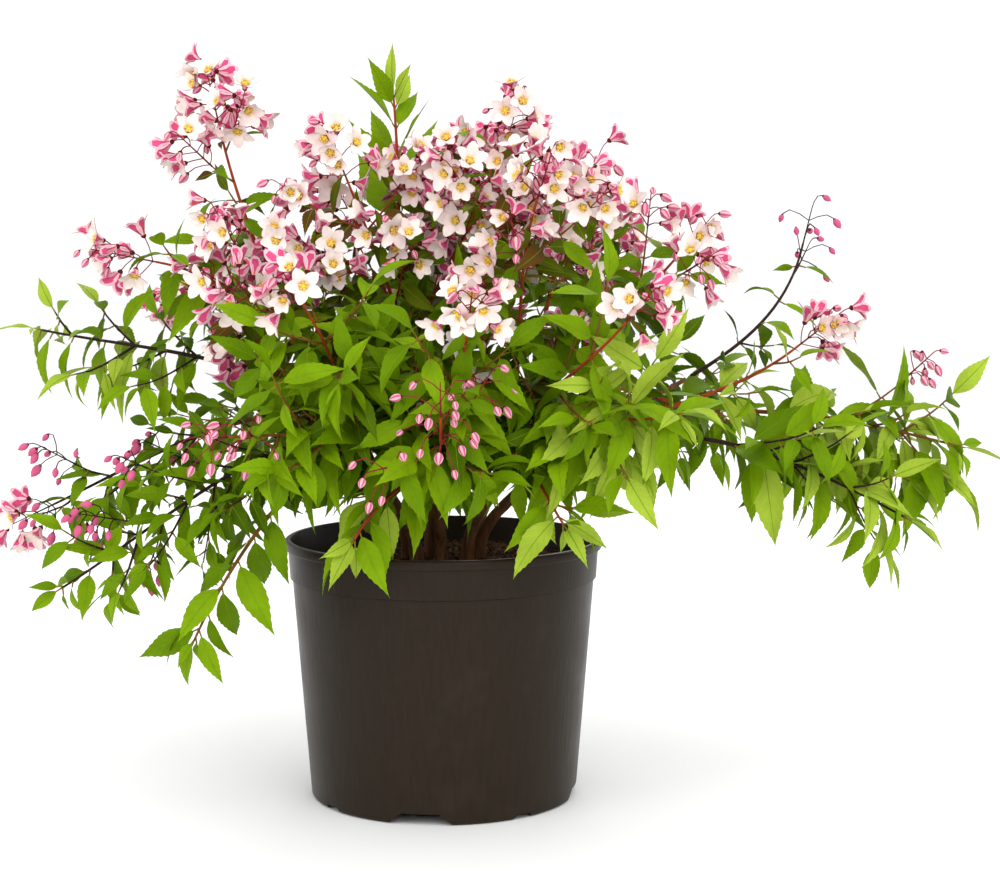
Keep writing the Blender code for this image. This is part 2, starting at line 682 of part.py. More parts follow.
class Mass:
    """One mass of foliage while it grows: the shapes that will be fused to its stem."""

    def __init__(self, name, line, space, number):
        self.name = name
        self.line = line
        self.space = space
        self.random = np.random.default_rng([SEED, number])
        self.spread = MASSES[name][6]
        self.kind = MASSES[name][7]
        self.shapes = []
        self.taken = []
        self.leaves = 0

    def vary(self, low, high):
        return float(self.random.uniform(low, high))

    def add_leaf(self, point, way, length):
        root = point - way * ROOT_SINK
        up = blade_up(point, way, math.radians(self.vary(-LEAF_TILT, LEAF_TILT)))
        vertices, faces = leaf_shape(root, way, up, length)
        half_width = length * LEAF_WIDTH / 2
        depth = length * LEAF_DROOP / 2
        spots = leaf_spots(vertices)
        start = root + way * length * LEAF_FREE
        flat = (start, way, up, length * (1.0 - LEAF_FREE), half_width, depth)
        if not self.space.owns(self.name, spots) or not self.space.limb_clear(*flat):
            return False
        if self.crowded(*flat):
            return False
        self.shapes.append((vertices, faces))
        self.taken += spots
        return True

    def crowded(self, start, way, up, length, half_width, depth):
        """Whether a place on a leaf, twig or flower grown before lies in a flat box."""
        if not self.taken:
            return False
        local = box_places(np.array([tuple(p) for p in self.taken]), start, way, up)
        inside = (local[:, 0] > 0) & (local[:, 0] < length)
        inside &= np.abs(local[:, 1]) < half_width
        inside &= np.abs(local[:, 2]) < depth + CROWD_MARGIN
        return bool(np.any(inside))

    def add_leaf_fitted(self, point, way, length, twig_way=None):
        """A leaf, turned about its twig or shortened where it would not fit as it is."""
        if self.leaves == LEAVES_IN_A_MASS:
            return
        turns = LEAF_TURNS if twig_way else (0,)
        for share in LEAF_SHARES:
            for turn in turns:
                lean = way
                if turn:
                    lean = Matrix.Rotation(math.radians(turn), 3, twig_way) @ way
                if self.add_leaf(point, lean, length * share):
                    self.leaves += 1
                    return

    def add_flower(self, point, way, bud):
        size = self.vary(*SIZE_SPREAD)
        root = point - way * ROOT_SINK
        if bud:
            vertices, faces = spindle_shape(root, way, BUD_LENGTH * size, BUD_WIDTH * size)
        else:
            vertices, faces = blossom_shape(root, way, BLOSSOM_LENGTH * size, BLOSSOM_RADIUS * size)
        around = BLOSSOM_RADIUS * BLOSSOM_CLEARANCE
        flat = way.orthogonal().normalized()
        box = (root + way * BLOSSOM_FREE, way, flat, BLOSSOM_LENGTH, around, around)
        if not self.space.limb_clear(*box) or self.crowded(*box):
            return
        if self.space.owns(self.name, vertices[4:] if not bud else vertices[1:]):
            self.shapes.append((vertices, faces))
            self.taken += vertices[4:]

    def add_twig(self, point, way, length):
        """A side twig, shorter where it has to be. Returns its end, or None where it has no room."""
        flat = way.orthogonal().normalized()
        for share in TWIG_SHARES:
            reach = length * share
            end = point + way * reach
            spots = [point.lerp(end, part) for part in TWIG_SPOTS]
            clear = self.space.limb_clear(point, way, flat, reach, SIDE_TWIG_RADIUS, SIDE_TWIG_RADIUS)
            if clear and self.space.owns(self.name, spots):
                radii = (SIDE_TWIG_RADIUS, SIDE_TWIG_TIP_RADIUS)
                self.shapes.append(tube([point - way * ROOT_SINK, end], radii, 3))
                self.taken += spots
                return end
        return None

    def grow_leaf_pair(self, point, way, across, length):
        for sign, back in ((1, 0.0), (-1, PAIR_STEP)):
            lean = (way * LEAF_LEAN + across * sign).normalized()
            lean = (lean + Vector((0, 0, -LEAF_HANG))).normalized()
            start = point - way * back
            self.add_leaf_fitted(start, lean, length * self.vary(*SIZE_SPREAD), way)

    def grow_end(self, point, way, leaf_length):
        """The end of a leafy twig: a leaf pair round a last leaf."""
        across = way.orthogonal().normalized()
        self.grow_leaf_pair(point - way * END_PAIR_STEP, way, across, leaf_length)
        self.add_leaf_fitted(point - way * END_STEP, way, leaf_length)

    def on_line(self, distance):
        """The point of the stem at a distance from its foot."""
        for before, after in zip(self.line, self.line[1:]):
            step = (after - before).length
            if distance <= step:
                return before.lerp(after, distance / step)
            distance -= step
        return self.line[-1]

    def grow_head(self, starts, way, count):
        """A ring of blossoms or buds round a twig, from its two starts by turns."""
        across = way.orthogonal().normalized()
        for k in range(count):
            turn = math.radians(360.0 * k / count + self.vary(-NODE_SPREAD, NODE_SPREAD))
            ring_way = Matrix.Rotation(turn, 3, way) @ across
            lean = (way * self.vary(*HEAD_LEAN) + ring_way - Vector((0, 0, HEAD_NOD))).normalized()
            self.add_flower(starts[k % 2], lean, self.kind == "buds")

    def grow(self):
        """Nodes along the stem, each a quarter turn on from the last: leaf pairs and side twigs."""
        length = sum((b - a).length for a, b in zip(self.line, self.line[1:]))
        count = max(FEWEST_NODES, round(length / NODE_SPACING))
        spots = respaced(self.line, count + 1)
        ways = ways_along(spots)
        across = ways[0].orthogonal().normalized()
        across = Matrix.Rotation(self.vary(0, math.pi), 3, ways[0]) @ across
        tip_way = (self.line[-1] - self.line[-2]).normalized()
        if self.kind == "leaves":
            self.grow_end(self.line[-1], tip_way, LEAF_LENGTH * LEAF_SHARES[1])
        else:
            self.grow_head(head_starts(self.line[-1], tip_way), tip_way, HEAD_FLOWERS)
        for k in range(count - 1, 0, -1):
            point = spots[k]
            way = ways[k]
            turn = math.radians(90 + self.vary(-NODE_SPREAD, NODE_SPREAD))
            across = (across - way * across.dot(way)).normalized()
            across = Matrix.Rotation(turn, 3, way) @ across
            share = k / count
            if self.kind == "buds" and share > BUDDING_FROM:
                nearer = share * length - END_STEP
                starts = [self.on_line(nearer), self.on_line(nearer - HEAD_STEP)]
                self.grow_head(starts, way, SIDE_HEAD_FLOWERS)
            elif k % 2 == 1 and share < SIDE_TWIG_LIMIT:
                self.grow_side_twigs(point, way, across, share)
            else:
                self.grow_leaf_pair(point, way, across, LEAF_LENGTH * self.shortening(share))

    def shortening(self, share):
        """How leaves and side twigs get shorter from the foot of the mass to its tip."""
        return FOOT_SIZE + (TIP_SIZE - FOOT_SIZE) * share

    def grow_side_twigs(self, point, way, across, share):
        angle = math.radians(SIDE_TWIG_ANGLE)
        long_leaf, leaf, small_leaf, _ = (LEAF_LENGTH * part for part in LEAF_SHARES)
        for sign, back in ((1, 0.0), (-1, PAIR_STEP)):
            out = (way * math.cos(angle) + across * sign * math.sin(angle)).normalized()
            reach = SIDE_TWIG_LENGTH * self.spread * self.shortening(share) * self.vary(*SIZE_SPREAD)
            start = point - way * back
            end = self.add_twig(start, out, reach)
            if end is None:
                self.add_leaf_fitted(start, out, long_leaf, way)
                continue
            if self.kind == "leaves" or share < BUDDING_FROM:
                self.add_leaf_fitted(end - out * END_STEP, out, leaf, out)
                self.grow_leaf_pair(start.lerp(end, TWIG_TIP_PAIR), out, across, small_leaf)
            else:
                self.grow_head(head_starts(end, out), out, SIDE_HEAD_FLOWERS)
            turned_across = out.cross(across).normalized()
            self.grow_leaf_pair(start.lerp(end, TWIG_MIDDLE_PAIR), out, turned_across, leaf)


def fuse(name, core, shapes, material):
    """One solid: the core shape with every other shape joined to it."""
    loose = bpy.data.collections.new(name + "_loose")
    bpy.context.scene.collection.children.link(loose)
    for number, (vertices, faces) in enumerate(shapes):
        add_object(f"{name}_{number}", vertices, faces, material, loose)
    body = add_object(name, *core, material)
    union = body.modifiers.new("union", "BOOLEAN")
    union.operation = "UNION"
    union.operand_type = "COLLECTION"
    union.collection = loose
    apply_modifiers(body)
    for piece in list(loose.objects):
        bpy.data.objects.remove(piece, do_unlink=True)
    bpy.data.collections.remove(loose)
    return body


def make_masses(axes, starts, limbs, materials):
    space = Space(axes, limbs)
    for number, (name, line) in enumerate(axes.items()):
        mass = Mass(name, line, space, number)
        mass.grow()
        core = tube(line, taper(TWIG_RADIUS, TWIG_TIP_RADIUS, len(line)), 3, starts[name])
        fuse("mass_" + name, core, mass.shapes, materials[mass.kind])


def main():
    clear_scene()
    materials = make_materials()
    make_pot(materials)
    make_soil(materials)
    axes, starts, limbs = make_limbs(materials)
    make_masses(axes, starts, limbs, materials)


main()
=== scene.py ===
import itertools
import math

import bpy
import numpy as np
from mathutils import Matrix, Vector, noise


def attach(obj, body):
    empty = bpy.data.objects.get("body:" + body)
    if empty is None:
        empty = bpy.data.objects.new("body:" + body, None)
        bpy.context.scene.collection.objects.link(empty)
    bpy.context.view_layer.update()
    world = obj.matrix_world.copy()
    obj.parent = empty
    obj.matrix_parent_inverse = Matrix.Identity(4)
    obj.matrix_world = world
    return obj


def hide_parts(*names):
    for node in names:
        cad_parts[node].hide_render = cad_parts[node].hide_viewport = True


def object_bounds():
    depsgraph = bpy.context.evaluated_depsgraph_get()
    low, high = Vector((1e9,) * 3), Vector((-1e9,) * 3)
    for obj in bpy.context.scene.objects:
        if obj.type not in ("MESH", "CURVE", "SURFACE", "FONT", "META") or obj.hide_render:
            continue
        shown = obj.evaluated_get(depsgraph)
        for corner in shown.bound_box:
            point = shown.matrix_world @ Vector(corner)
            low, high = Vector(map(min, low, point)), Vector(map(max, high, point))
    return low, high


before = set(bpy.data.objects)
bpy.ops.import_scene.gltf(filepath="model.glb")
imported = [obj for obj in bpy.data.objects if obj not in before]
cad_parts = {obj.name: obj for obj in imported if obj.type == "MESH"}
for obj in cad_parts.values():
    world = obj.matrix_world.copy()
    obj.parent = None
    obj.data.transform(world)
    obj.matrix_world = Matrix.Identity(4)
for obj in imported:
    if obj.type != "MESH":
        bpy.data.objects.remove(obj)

CAD_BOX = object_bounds()

# Pot, as its solid
POT_HEIGHT = 0.155
RIM_RADIUS = 0.095
COLLAR_HEIGHT = 0.0235
COLLAR_FOOT_RADIUS = 0.0918
WALL_TOP_RADIUS = 0.0904
BASE_RADIUS = 0.080
BASE_ROUND = 0.002
WALL = 0.0016
BEAD_HEIGHT = 0.0055
BEAD_NECK = 0.0014
BEAD_FILLET = 0.0007
COLLAR_LEDGE = 0.0006
LIP_ROUND = 0.0019
LIP_WIDTH = 0.0037
OVERCUT = 0.001
POT_SIDES = 144
ARC_STEPS = 5
NOTCH_BEARING = 261.6
LARGE_NOTCH = {"foot": 0.0185, "top": 0.0110, "height": 0.0065}
SMALL_NOTCH = {"foot": 0.0070, "top": 0.0050, "height": 0.0025}
NOTCH_PAIRS = 4
NOTCH_INNER_RADIUS = 0.060
NOTCH_OUTER_RADIUS = 0.100

# Soil
SOIL_TOP = 0.142
SOIL_EDGE_DROP = 0.004
SOIL_FLAT_RADIUS = 0.050
SOIL_FOOT = 0.0095
SOIL_RELIEF = 0.0026
SOIL_RINGS = 52
SOIL_SPOKES = 168
SOIL_NOISE = ((55, 1.7, 0.75), (170, 5.1, 0.55), (520, 9.4, 0.35))
BITS = {
    "soil_crumbs": (900, (0.0009, 0.0034), (0.070, 0.036, 0.018)),
    "soil_flecks": (150, (0.0008, 0.0022), (0.230, 0.150, 0.090)),
}
GAP = 0.0003

# Stems and boughs, as their solids
STEM_FOOT_RING = 0.021
STEM_RADII = (0.0046, 0.0037, 0.0034, 0.0036, 0.0043)
STEM_POINTS = len(STEM_RADII)
PORT_RADIUS = 0.0017
FORK_BEND = 0.5
FORK_TURNS = 8
ROUTE_POINTS = 61
ROUTE_SKIP = 3
ROOM_SHARE = 0.1
ARCH_PULL = 0.36
BOUGH_TIP_RADIUS = 0.0014
BOUGH_SHARE = 0.46
BARK_RELIEF = 0.09
STEM_RINGS = 70
STEM_SPOKES = 16
BOUGH_RINGS = 60
BOUGH_SPOKES = 9
BOUGH_SEED = 20

# Shoots
TWIG_RADIUS = 0.0014
TWIG_TIP_RADIUS = 0.0007
SIDE_TWIG_RADIUS = 0.0009
SIDE_TWIG_TIP_RADIUS = 0.0005
NODE_SPACING = 0.0175
NODE_SPREAD = 14.0
SIZE_SPREAD = (0.70, 1.18)
TWIG_END = 0.85
SIDE_TWIG_ANGLE = 48.0
SIDE_TWIG_SPREAD = 12.0
SIDE_TWIG_LENGTH = 0.060
SIDE_TWIG_RISE = 0.35
SIDE_TWIG_POINTS = 6
SIDE_NODE_SPACING = 0.0135
SIDE_NODE_SPREAD = 20.0
PAIR_STEP = 0.0010

# Leaves
LEAF_LENGTH = 0.057
LEAF_WIDTH = 0.35
LEAF_ROWS = 20
LEAF_COLUMNS = (-1.0, -0.5, 0.0, 0.5, 1.0)
LEAF_TOOTH = 0.06
TOOTH_LEAN = 0.4
LEAF_SWELL = 0.95
LEAF_TAPER = 1.75
LEAF_FOLD = (6, 26)
LEAF_DROOP = (10, 75)
LEAF_TWIST = 32
LEAF_WAVE = 0.022
LEAF_TILT = 50.0
LEAF_SHARES = (1.0, 0.8, 0.6)
LIGHT_OUTWARD = 0.95
LIGHT_SIDE = 0.5
LIGHT_BACK = 0.08
LEVEL_LIMIT = 0.15
PETIOLE = 0.004
RIB_WIDTH = 0.00028
RIB_LIFT = 0.00022
RIB_STEP = 2
RIB_END = 0.25
VEIN_PAIRS = 8.0
VEIN_SLANT = -3.0
VEIN_WIDTH = 0.10
VEIN_SHARE = 0.16

# Blossom
PETAL_LENGTH = 0.0122
PETAL_WIDTH = 0.0069
PETAL_OUTLINE = (0.24, 0.54, 0.84, 1.0, 0.97, 0.74, 0.24)
PETAL_ROWS = len(PETAL_OUTLINE) - 1
PETAL_COLUMNS = (-1.0, -0.62, 0.62, 1.0)
PETAL_CUP = 0.30
PETAL_START = (0.0017, 0.0012)
PETAL_THICKNESS = 0.0002
PETAL_LEAN = 12
OPENING = (26, 74)
STALK_LENGTH = 0.0115
STALK_RADIUS = 0.00038
STALK_POINTS = 4
HEAD_SPACING = 0.0054
HEAD_SPREAD = 18.0
NODE_HEAD = 0.010
SIDE_HEAD = (0.014, 0.028)
FLOWER_SIZES = (0.86, 1.10)
BUD_LENGTH = 0.0082
BUD_SPREAD = (0.75, 1.1)
CALYX_SHARE = 0.8
ANTHERS = 6
ANTHER_REACH = 0.0018
ANTHER_HEIGHT = 0.0062
ANTHER_STEP = 0.0007
FLOWER_NOD = (0.0, 1.2)
BUD_NOD = (0.8, 2.0)
NOD_OUTWARD = 0.25
NOD_SWAY = 0.5

# Space that growth keeps to
EDGE_ROOM = 0.006
POT_ROOM = 0.002
CLEAR_RADIUS = 0.112
CLEAR_HEIGHT = 0.166
LOW_CLEAR = 0.157
SEED = 417

# Materials, lights and view
SHEEN = 0.05
POT_SHEEN = 0.11
DUST = (0.048, 0.037, 0.027, 1.0)
FLOOR_GAP = 0.0003
FLOOR_HALF = 20.0
BACKDROP = 1.09
LIGHTS = {
    "key": ((0.5, -1.7, 1.8), 0.25, 2.2, 25.0),
    "fill": ((-1.5, -1.1, 0.9), 0.25, 0.8, 4.0),
    "back": ((0.3, 1.6, 1.4), 0.30, 1.2, 8.0),
}
LENS = 77.1
CAMERA_PLACE = (0.034, -1.274, 0.343)
CAMERA_TILT = 5.8

# Each stem's fork: bearing, reach, height and climb
STEMS = {
    "left": (186, 0.050, 0.205, 56),
    "left_front": (222, 0.052, 0.198, 56),
    "front": (268, 0.050, 0.190, 62),
    "right_front": (312, 0.052, 0.200, 62),
    "right": (352, 0.056, 0.192, 30),
    "right_back": (28, 0.050, 0.212, 62),
    "middle": (175, 0.012, 0.246, 62),
    "back": (112, 0.052, 0.202, 56),
}

# Each mass: stem, whether on a bough, its tip's bearing, reach, height and climb, spread, kind
MASSES = {
    "left_tall": ("left", True, 180, 0.132, 0.402, 78, 0.4, "flowers"),
    "left_high": ("left", True, 190, 0.168, 0.320, 10, 0.6, "flowers"),
    "left_arm": ("left", True, 184, 0.236, 0.280, 12, 0.8, "leaves"),
    "left_low": ("left", True, 187, 0.230, 0.178, -25, 0.7, "flowers"),
    "left_fan": ("left_front", False, 198, 0.226, 0.136, -30, 1.0, "leaves"),
    "left_droop": ("left_front", True, 216, 0.168, 0.112, -62, 0.5, "leaves"),
    "left_mid": ("left_front", False, 206, 0.126, 0.325, 60, 0.9, "flowers"),
    "left_inner": ("left_front", False, 238, 0.138, 0.300, 45, 1.0, "flowers"),
    "left_bank": ("front", False, 229, 0.171, 0.228, 4, 1.0, "buds"),
    "front_left": ("front", False, 248, 0.122, 0.170, -35, 0.6, "leaves"),
    "front_mid": ("front", False, 271, 0.142, 0.240, 45, 0.9, "buds"),
    "front_high": ("front", False, 277, 0.140, 0.288, 45, 1.0, "flowers"),
    "front_right": ("right_front", False, 302, 0.130, 0.178, -35, 0.6, "leaves"),
    "right_bank": ("right_front", False, 316, 0.180, 0.240, 15, 0.9, "leaves"),
    "right_inner": ("right_front", False, 308, 0.165, 0.290, 40, 1.0, "flowers"),
    "right_mid": ("right_front", False, 304, 0.098, 0.356, 60, 1.0, "flowers"),
    "right_arm": ("right", True, 356, 0.304, 0.212, -14, 0.9, "leaves"),
    "right_low": ("right", True, 346, 0.272, 0.176, -28, 0.9, "leaves"),
    "right_flower": ("right", True, 350, 0.210, 0.272, 40, 0.6, "flowers"),
    "right_top": ("right_back", True, 352, 0.138, 0.322, 50, 0.9, "flowers"),
    "right_tall": ("right", True, 8, 0.220, 0.330, 78, 0.4, "buds"),
    "top_right": ("right_back", True, 8, 0.082, 0.356, 65, 0.7, "flowers"),
    "top_mid": ("middle", False, 340, 0.040, 0.388, 75, 1.0, "flowers"),
    "top_left": ("middle", False, 215, 0.066, 0.368, 65, 0.9, "flowers"),
    "top_leafy": ("middle", True, 165, 0.030, 0.416, 85, 0.6, "leaves"),
    "back_top": ("middle", True, 85, 0.080, 0.372, 60, 1.0, "flowers"),
    "back_right_high": ("right_back", True, 52, 0.168, 0.310, 40, 1.0, "flowers"),
    "back_right_low": ("right_back", True, 38, 0.232, 0.215, -10, 1.0, "leaves"),
    "back_low": ("back", True, 88, 0.212, 0.196, -20, 1.0, "leaves"),
    "back_high": ("back", False, 98, 0.158, 0.300, 40, 1.0, "flowers"),
    "back_left_high": ("back", True, 142, 0.160, 0.300, 45, 1.0, "flowers"),
    "back_left_low": ("back", True, 136, 0.222, 0.206, -10, 1.0, "leaves"),
}

# How a mass is dressed, where it differs from the plain way. leaf: size of its leaves; rise: how far
# a leaf leans along its twig; hang and droop: how far it hangs and how much its blade bends; clear: how
# low it may grow over the pot; twigs: how many nodes bear side twigs; bare, pairs: where leaf pairs start
# and end; blossom, budding: where flowering twigs and budding nodes start; head: length of its end head;
# budded: share of buds at a head's end; open: whether side heads open; sprigs: share of a leafy mass's
# side twigs that end in buds; lax: spacing and stalks of a head; bud: size of its buds
PLAIN = {"leaf": 0.78, "rise": 0.55, "hang": 0.3, "droop": 1.0, "clear": CLEAR_HEIGHT, "twigs": 0.8,
         "bare": 0.0, "pairs": 0.8, "blossom": 0.36, "budding": 0.55, "head": 0.03, "budded": 0.35,
         "open": True, "sprigs": 0.0, "lax": 1.0, "bud": 1.0, "tints": "plain", "stem": "twigs_red",
         "side": "twigs_brown", "stalk": "flower_stalks", "stripe": "pale_buds"}
FRONT = {"leaf": 0.86, "blossom": 0.82, "head": 0.026}
TOP = {"leaf": 0.66, "blossom": 0.2, "twigs": 0.95, "pairs": 0.6, "rise": 0.7, "tints": "bronzed",
       "side": "twigs_red"}
DARK = {"stem": "twigs_dark", "side": "twigs_dark", "stalk": "twigs_dark", "stripe": "rose_buds",
        "hang": 0.45}
DRESS = {
    "left_tall": {"leaf": 0.66, "twigs": 0.45, "blossom": 0.5, "pairs": 0.62, "budded": 0.1,
                  "tints": "bronzed"},
    "left_high": {"leaf": 0.72, "twigs": 0.35, "blossom": 0.95, "head": 0.038, "budded": 0.25},
    "left_arm": {**DARK, "leaf": 0.72, "twigs": 0.4, "rise": 0.45, "hang": 0.6, "tints": "fresh"},
    "left_low": {**DARK, "leaf": 0.58, "twigs": 0.5, "blossom": 0.5, "open": False, "head": 0.022,
                 "lax": 1.2},
    "left_fan": {**DARK, "leaf": 0.64, "twigs": 1.0, "hang": 0.25, "sprigs": 0.35, "clear": LOW_CLEAR},
    "left_droop": {"leaf": 0.8, "bare": 0.1, "twigs": 0.0, "hang": 0.45, "clear": LOW_CLEAR,
                   "stem": "twigs_brown"},
    "left_bank": {"leaf": 0.84, "hang": 0.55, "blossom": 0.78, "budding": 0.86, "head": 0.022,
                  "lax": 1.6, "bud": 0.9, "clear": LOW_CLEAR, "stem": "twigs_brown"},
    "left_mid": {"leaf": 0.82, "blossom": 0.45, "tints": "bronzed"},
    "left_inner": FRONT,
    "front_left": {"leaf": 0.95, "bare": 0.36, "twigs": 0.4, "hang": 0.6, "clear": 0.0, "tints": "fresh"},
    "front_mid": {"leaf": 0.82, "bare": 0.12, "hang": 0.5, "blossom": 0.6, "budding": 0.72,
                  "lax": 1.7, "bud": 0.9, "clear": LOW_CLEAR},
    "front_right": {"leaf": 0.8, "bare": 0.4, "twigs": 0.6, "clear": 0.0, "tints": "fresh"},
    "front_high": {**FRONT, "bare": 0.12, "hang": 0.45},
    "right_bank": {"leaf": 0.95, "twigs": 0.85, "hang": 0.6, "tints": "fresh"},
    "right_inner": FRONT,
    "right_arm": {"leaf": 0.96, "twigs": 0.6, "hang": 0.6, "sprigs": 0.1, "tints": "fresh",
                  "stem": "twigs_brown"},
    "right_low": {**DARK, "leaf": 0.82, "twigs": 0.5, "hang": 0.45, "tints": "fresh"},
    "right_flower": {"leaf": 0.72, "twigs": 0.5, "blossom": 0.8, "tints": "fresh"},
    "right_tall": {**DARK, "leaf": 0.5, "twigs": 0.1, "pairs": 0.72, "budding": 1.0, "head": 0.022,
                   "lax": 1.7, "bud": 0.85},
    "right_top": {"leaf": 0.7, "blossom": 0.55, "twigs": 0.6, "budded": 0.8},
    "right_mid": {"leaf": 0.66, "blossom": 0.2, "tints": "bronzed"},
    "top_right": {**TOP, "blossom": 0.5, "twigs": 0.6, "budded": 0.95, "lax": 1.5},
    "top_mid": TOP,
    "top_left": TOP,
    "top_leafy": {"leaf": 0.86, "twigs": 0.0, "rise": 1.2, "hang": 0.0, "droop": 0.3, "tints": "fresh"},
    "back_top": TOP,
    "back_high": {"leaf": 0.86, "twigs": 1.0, "blossom": 0.6},
    "back_low": {"leaf": 0.86, "twigs": 1.0},
}

# Colours of leaves: plain base colour and roughness
TINTS = {
    "lime": ((0.31, 0.43, 0.035), 0.5),
    "bright": ((0.168, 0.292, 0.002), 0.5),
    "middle": ((0.12, 0.224, 0.001), 0.5),
    "dark": ((0.071, 0.134, 0.0008), 0.52),
    "olive": ((0.095, 0.125, 0.003), 0.52),
    "bronze": ((0.11, 0.055, 0.008), 0.52),
}
# The tints that a spray may have, in each quarter of its mass from foot to tip
SPRAYS = {
    "plain": (("dark", "middle"), ("middle", "dark"), ("middle", "bright"), ("bright", "middle")),
    "fresh": (("bright", "middle"), ("bright", "lime"), ("lime", "bright"), ("lime", "bright")),
    "bronzed": (("dark", "middle"), ("middle", "olive"), ("olive", "middle", "bronze"),
                ("olive", "bronze", "bright")),
}
# Everything else that grows: plain base colour, roughness and material slot
COLOURS = {
    "petals_inside": ((0.9, 0.79, 0.75), 0.5, "flowers"),
    "petals_margin": ((0.86, 0.52, 0.59), 0.5, "flowers"),
    "petals_stripe": ((0.7, 0.085, 0.225), 0.5, "flowers"),
    "stamens": ((0.86, 0.6, 0.1), 0.6, "flowers"),
    "calyxes": ((0.1, 0.012, 0.016), 0.55, "flowers"),
    "flower_stalks": ((0.24, 0.022, 0.03), 0.5, "flowers"),
    "rose_buds": ((0.6, 0.11, 0.23), 0.45, "buds"),
    "pale_buds": ((0.79, 0.43, 0.48), 0.5, "buds"),
    "leaf_ribs": ((0.155, 0.27, 0.008), 0.5, "leaves"),
    "leaf_stalks": ((0.23, 0.18, 0.02), 0.5, "leaves"),
    "twigs_red": ((0.35, 0.055, 0.018), 0.55, "bark"),
    "twigs_brown": ((0.21, 0.085, 0.02), 0.6, "bark"),
    "twigs_dark": ((0.036, 0.02, 0.016), 0.65, "bark"),
}


def polar(bearing, reach, height):
    angle = math.radians(bearing)
    return Vector((reach * math.cos(angle), reach * math.sin(angle), height))


def heading(bearing, climb):
    rise = math.radians(climb)
    return polar(bearing, math.cos(rise), math.sin(rise))


def arch(start, start_way, end, end_way, count):
    """Points on a curve that leaves start along start_way and reaches end along end_way."""
    span = (end - start).length
    first = start + start_way * span * ARCH_PULL
    second = end - end_way * span * ARCH_PULL
    points = []
    for step in range(count):
        t = step / (count - 1)
        s = 1.0 - t
        points.append(start * s**3 + first * 3 * t * s**2 + second * 3 * t**2 * s + end * t**3)
    return points


def ways_along(points):
    """The unit direction of a line of points at each of them."""
    last = len(points) - 1
    return [(points[min(i + 1, last)] - points[max(i - 1, 0)]).normalized() for i in range(last + 1)]


def respaced(points, count):
    """The same line with count points at even distances."""
    lengths = [0.0]
    for before, after in zip(points, points[1:]):
        lengths.append(lengths[-1] + (after - before).length)
    wanted = np.linspace(0.0, lengths[-1], count)
    parts = [np.interp(wanted, lengths, part) for part in zip(*points)]
    return [Vector(point) for point in zip(*parts)]


def port_ring(centre, way, count, turn, radius):
    """Starts for limbs that leave a fork side by side, in a ring turned by turn."""
    if count == 1:
        return [centre + way * GAP]
    across = way.orthogonal().normalized()
    other = way.cross(across)
    ring = (radius + GAP / 2) / math.sin(math.pi / count)
    starts = []
    for place in range(count):
        angle = turn + math.tau * place / count
        starts.append(centre + way * GAP + (across * math.cos(angle) + other * math.sin(angle)) * ring)
    return starts


def room_between(routes):
    """How well routes from one fork keep apart in their first third."""
    lines = [np.array(route[ROUTE_SKIP:ROUTE_POINTS // 3]) for route in routes]
    least = []
    for a, b in itertools.combinations(lines, 2):
        gaps = np.linalg.norm(a[:, None, :] - b[None, :, :], axis=2)
        least.append(gaps.min())
    return min(least) + ROOM_SHARE * sum(least) if least else 0.0


def fork_routes(centre, way, names):
    """The routes of the limbs that leave a fork, from the starts that keep them furthest apart."""
    best = None
    best_room = -1.0
    for order in itertools.permutations(range(len(names))):
        for turn in np.linspace(0.0, math.tau / len(names), FORK_TURNS, endpoint=False):
            starts = port_ring(centre, way, len(names), turn, PORT_RADIUS)
            routes = []
            for name, place in zip(names, order):
                _, _, bearing, reach, height, climb, _, _ = MASSES[name]
                tip = polar(bearing, reach, height)
                routes.append(arch(starts[place], way, tip, heading(bearing, climb), ROUTE_POINTS))
            room = room_between(routes)
            if room > best_room:
                best = routes
                best_room = room
    return best


def limb_lines():
    """The lines and radii of stems and boughs, and each mass's own line, as in the solids."""
    stems = []
    boughs = []
    axes = {}
    for stem, (bearing, reach, height, climb) in STEMS.items():
        foot_ring = STEM_FOOT_RING if reach > STEM_FOOT_RING else reach / 2
        foot = polar(bearing, foot_ring, SOIL_TOP + GAP)
        fork = polar(bearing, reach, height)
        fork_way = (fork - foot).normalized().lerp(heading(bearing, climb), FORK_BEND).normalized()
        stems.append((arch(foot, Vector((0, 0, 1)), fork, fork_way, STEM_POINTS * 4), STEM_RADII))
        names = [name for name, row in MASSES.items() if row[0] == stem]
        for name, route in zip(names, fork_routes(fork, fork_way, names)):
            if not MASSES[name][1]:
                axes[name] = route
                continue
            cut = round(BOUGH_SHARE * len(route))
            boughs.append((route[:cut + 1], (PORT_RADIUS, BOUGH_TIP_RADIUS)))
            axes[name] = route[cut + 1:]
    return stems, boughs, axes


def linked(name, data):
    """A new object in the scene."""
    made = bpy.data.objects.new(name, data)
    bpy.context.scene.collection.objects.link(made)
    return made


def new_object(name, vertices, faces):
    mesh = bpy.data.meshes.new(name)
    mesh.from_pydata([tuple(vertex) for vertex in vertices], [], faces)
    return linked(name, mesh)


class Batch:
    """Small shapes of one kind, gathered into one mesh."""

    def __init__(self):
        self.vertices = []
        self.faces = []
        self.places = []
        self.count = 0

    def add(self, vertices, faces, places=None):
        self.vertices.append(np.asarray(vertices, dtype=float))
        self.faces += [tuple(corner + self.count for corner in face) for face in faces]
        if places is not None:
            self.places.append(places)
        self.count += len(vertices)

    def piece(self, name, material, slot, smooth=True):
        made = new_object(name, np.concatenate(self.vertices).tolist(), self.faces)
        mesh = made.data
        if self.places:
            corners = np.empty(len(mesh.loops), dtype=np.int32)
            mesh.loops.foreach_get("vertex_index", corners)
            layer = mesh.uv_layers.new(name="blade")
            layer.data.foreach_set("uv", np.concatenate(self.places)[corners].ravel())
        mesh.materials.append(material)
        if smooth:
            mesh.shade_smooth()
        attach(made, "root")
        return made


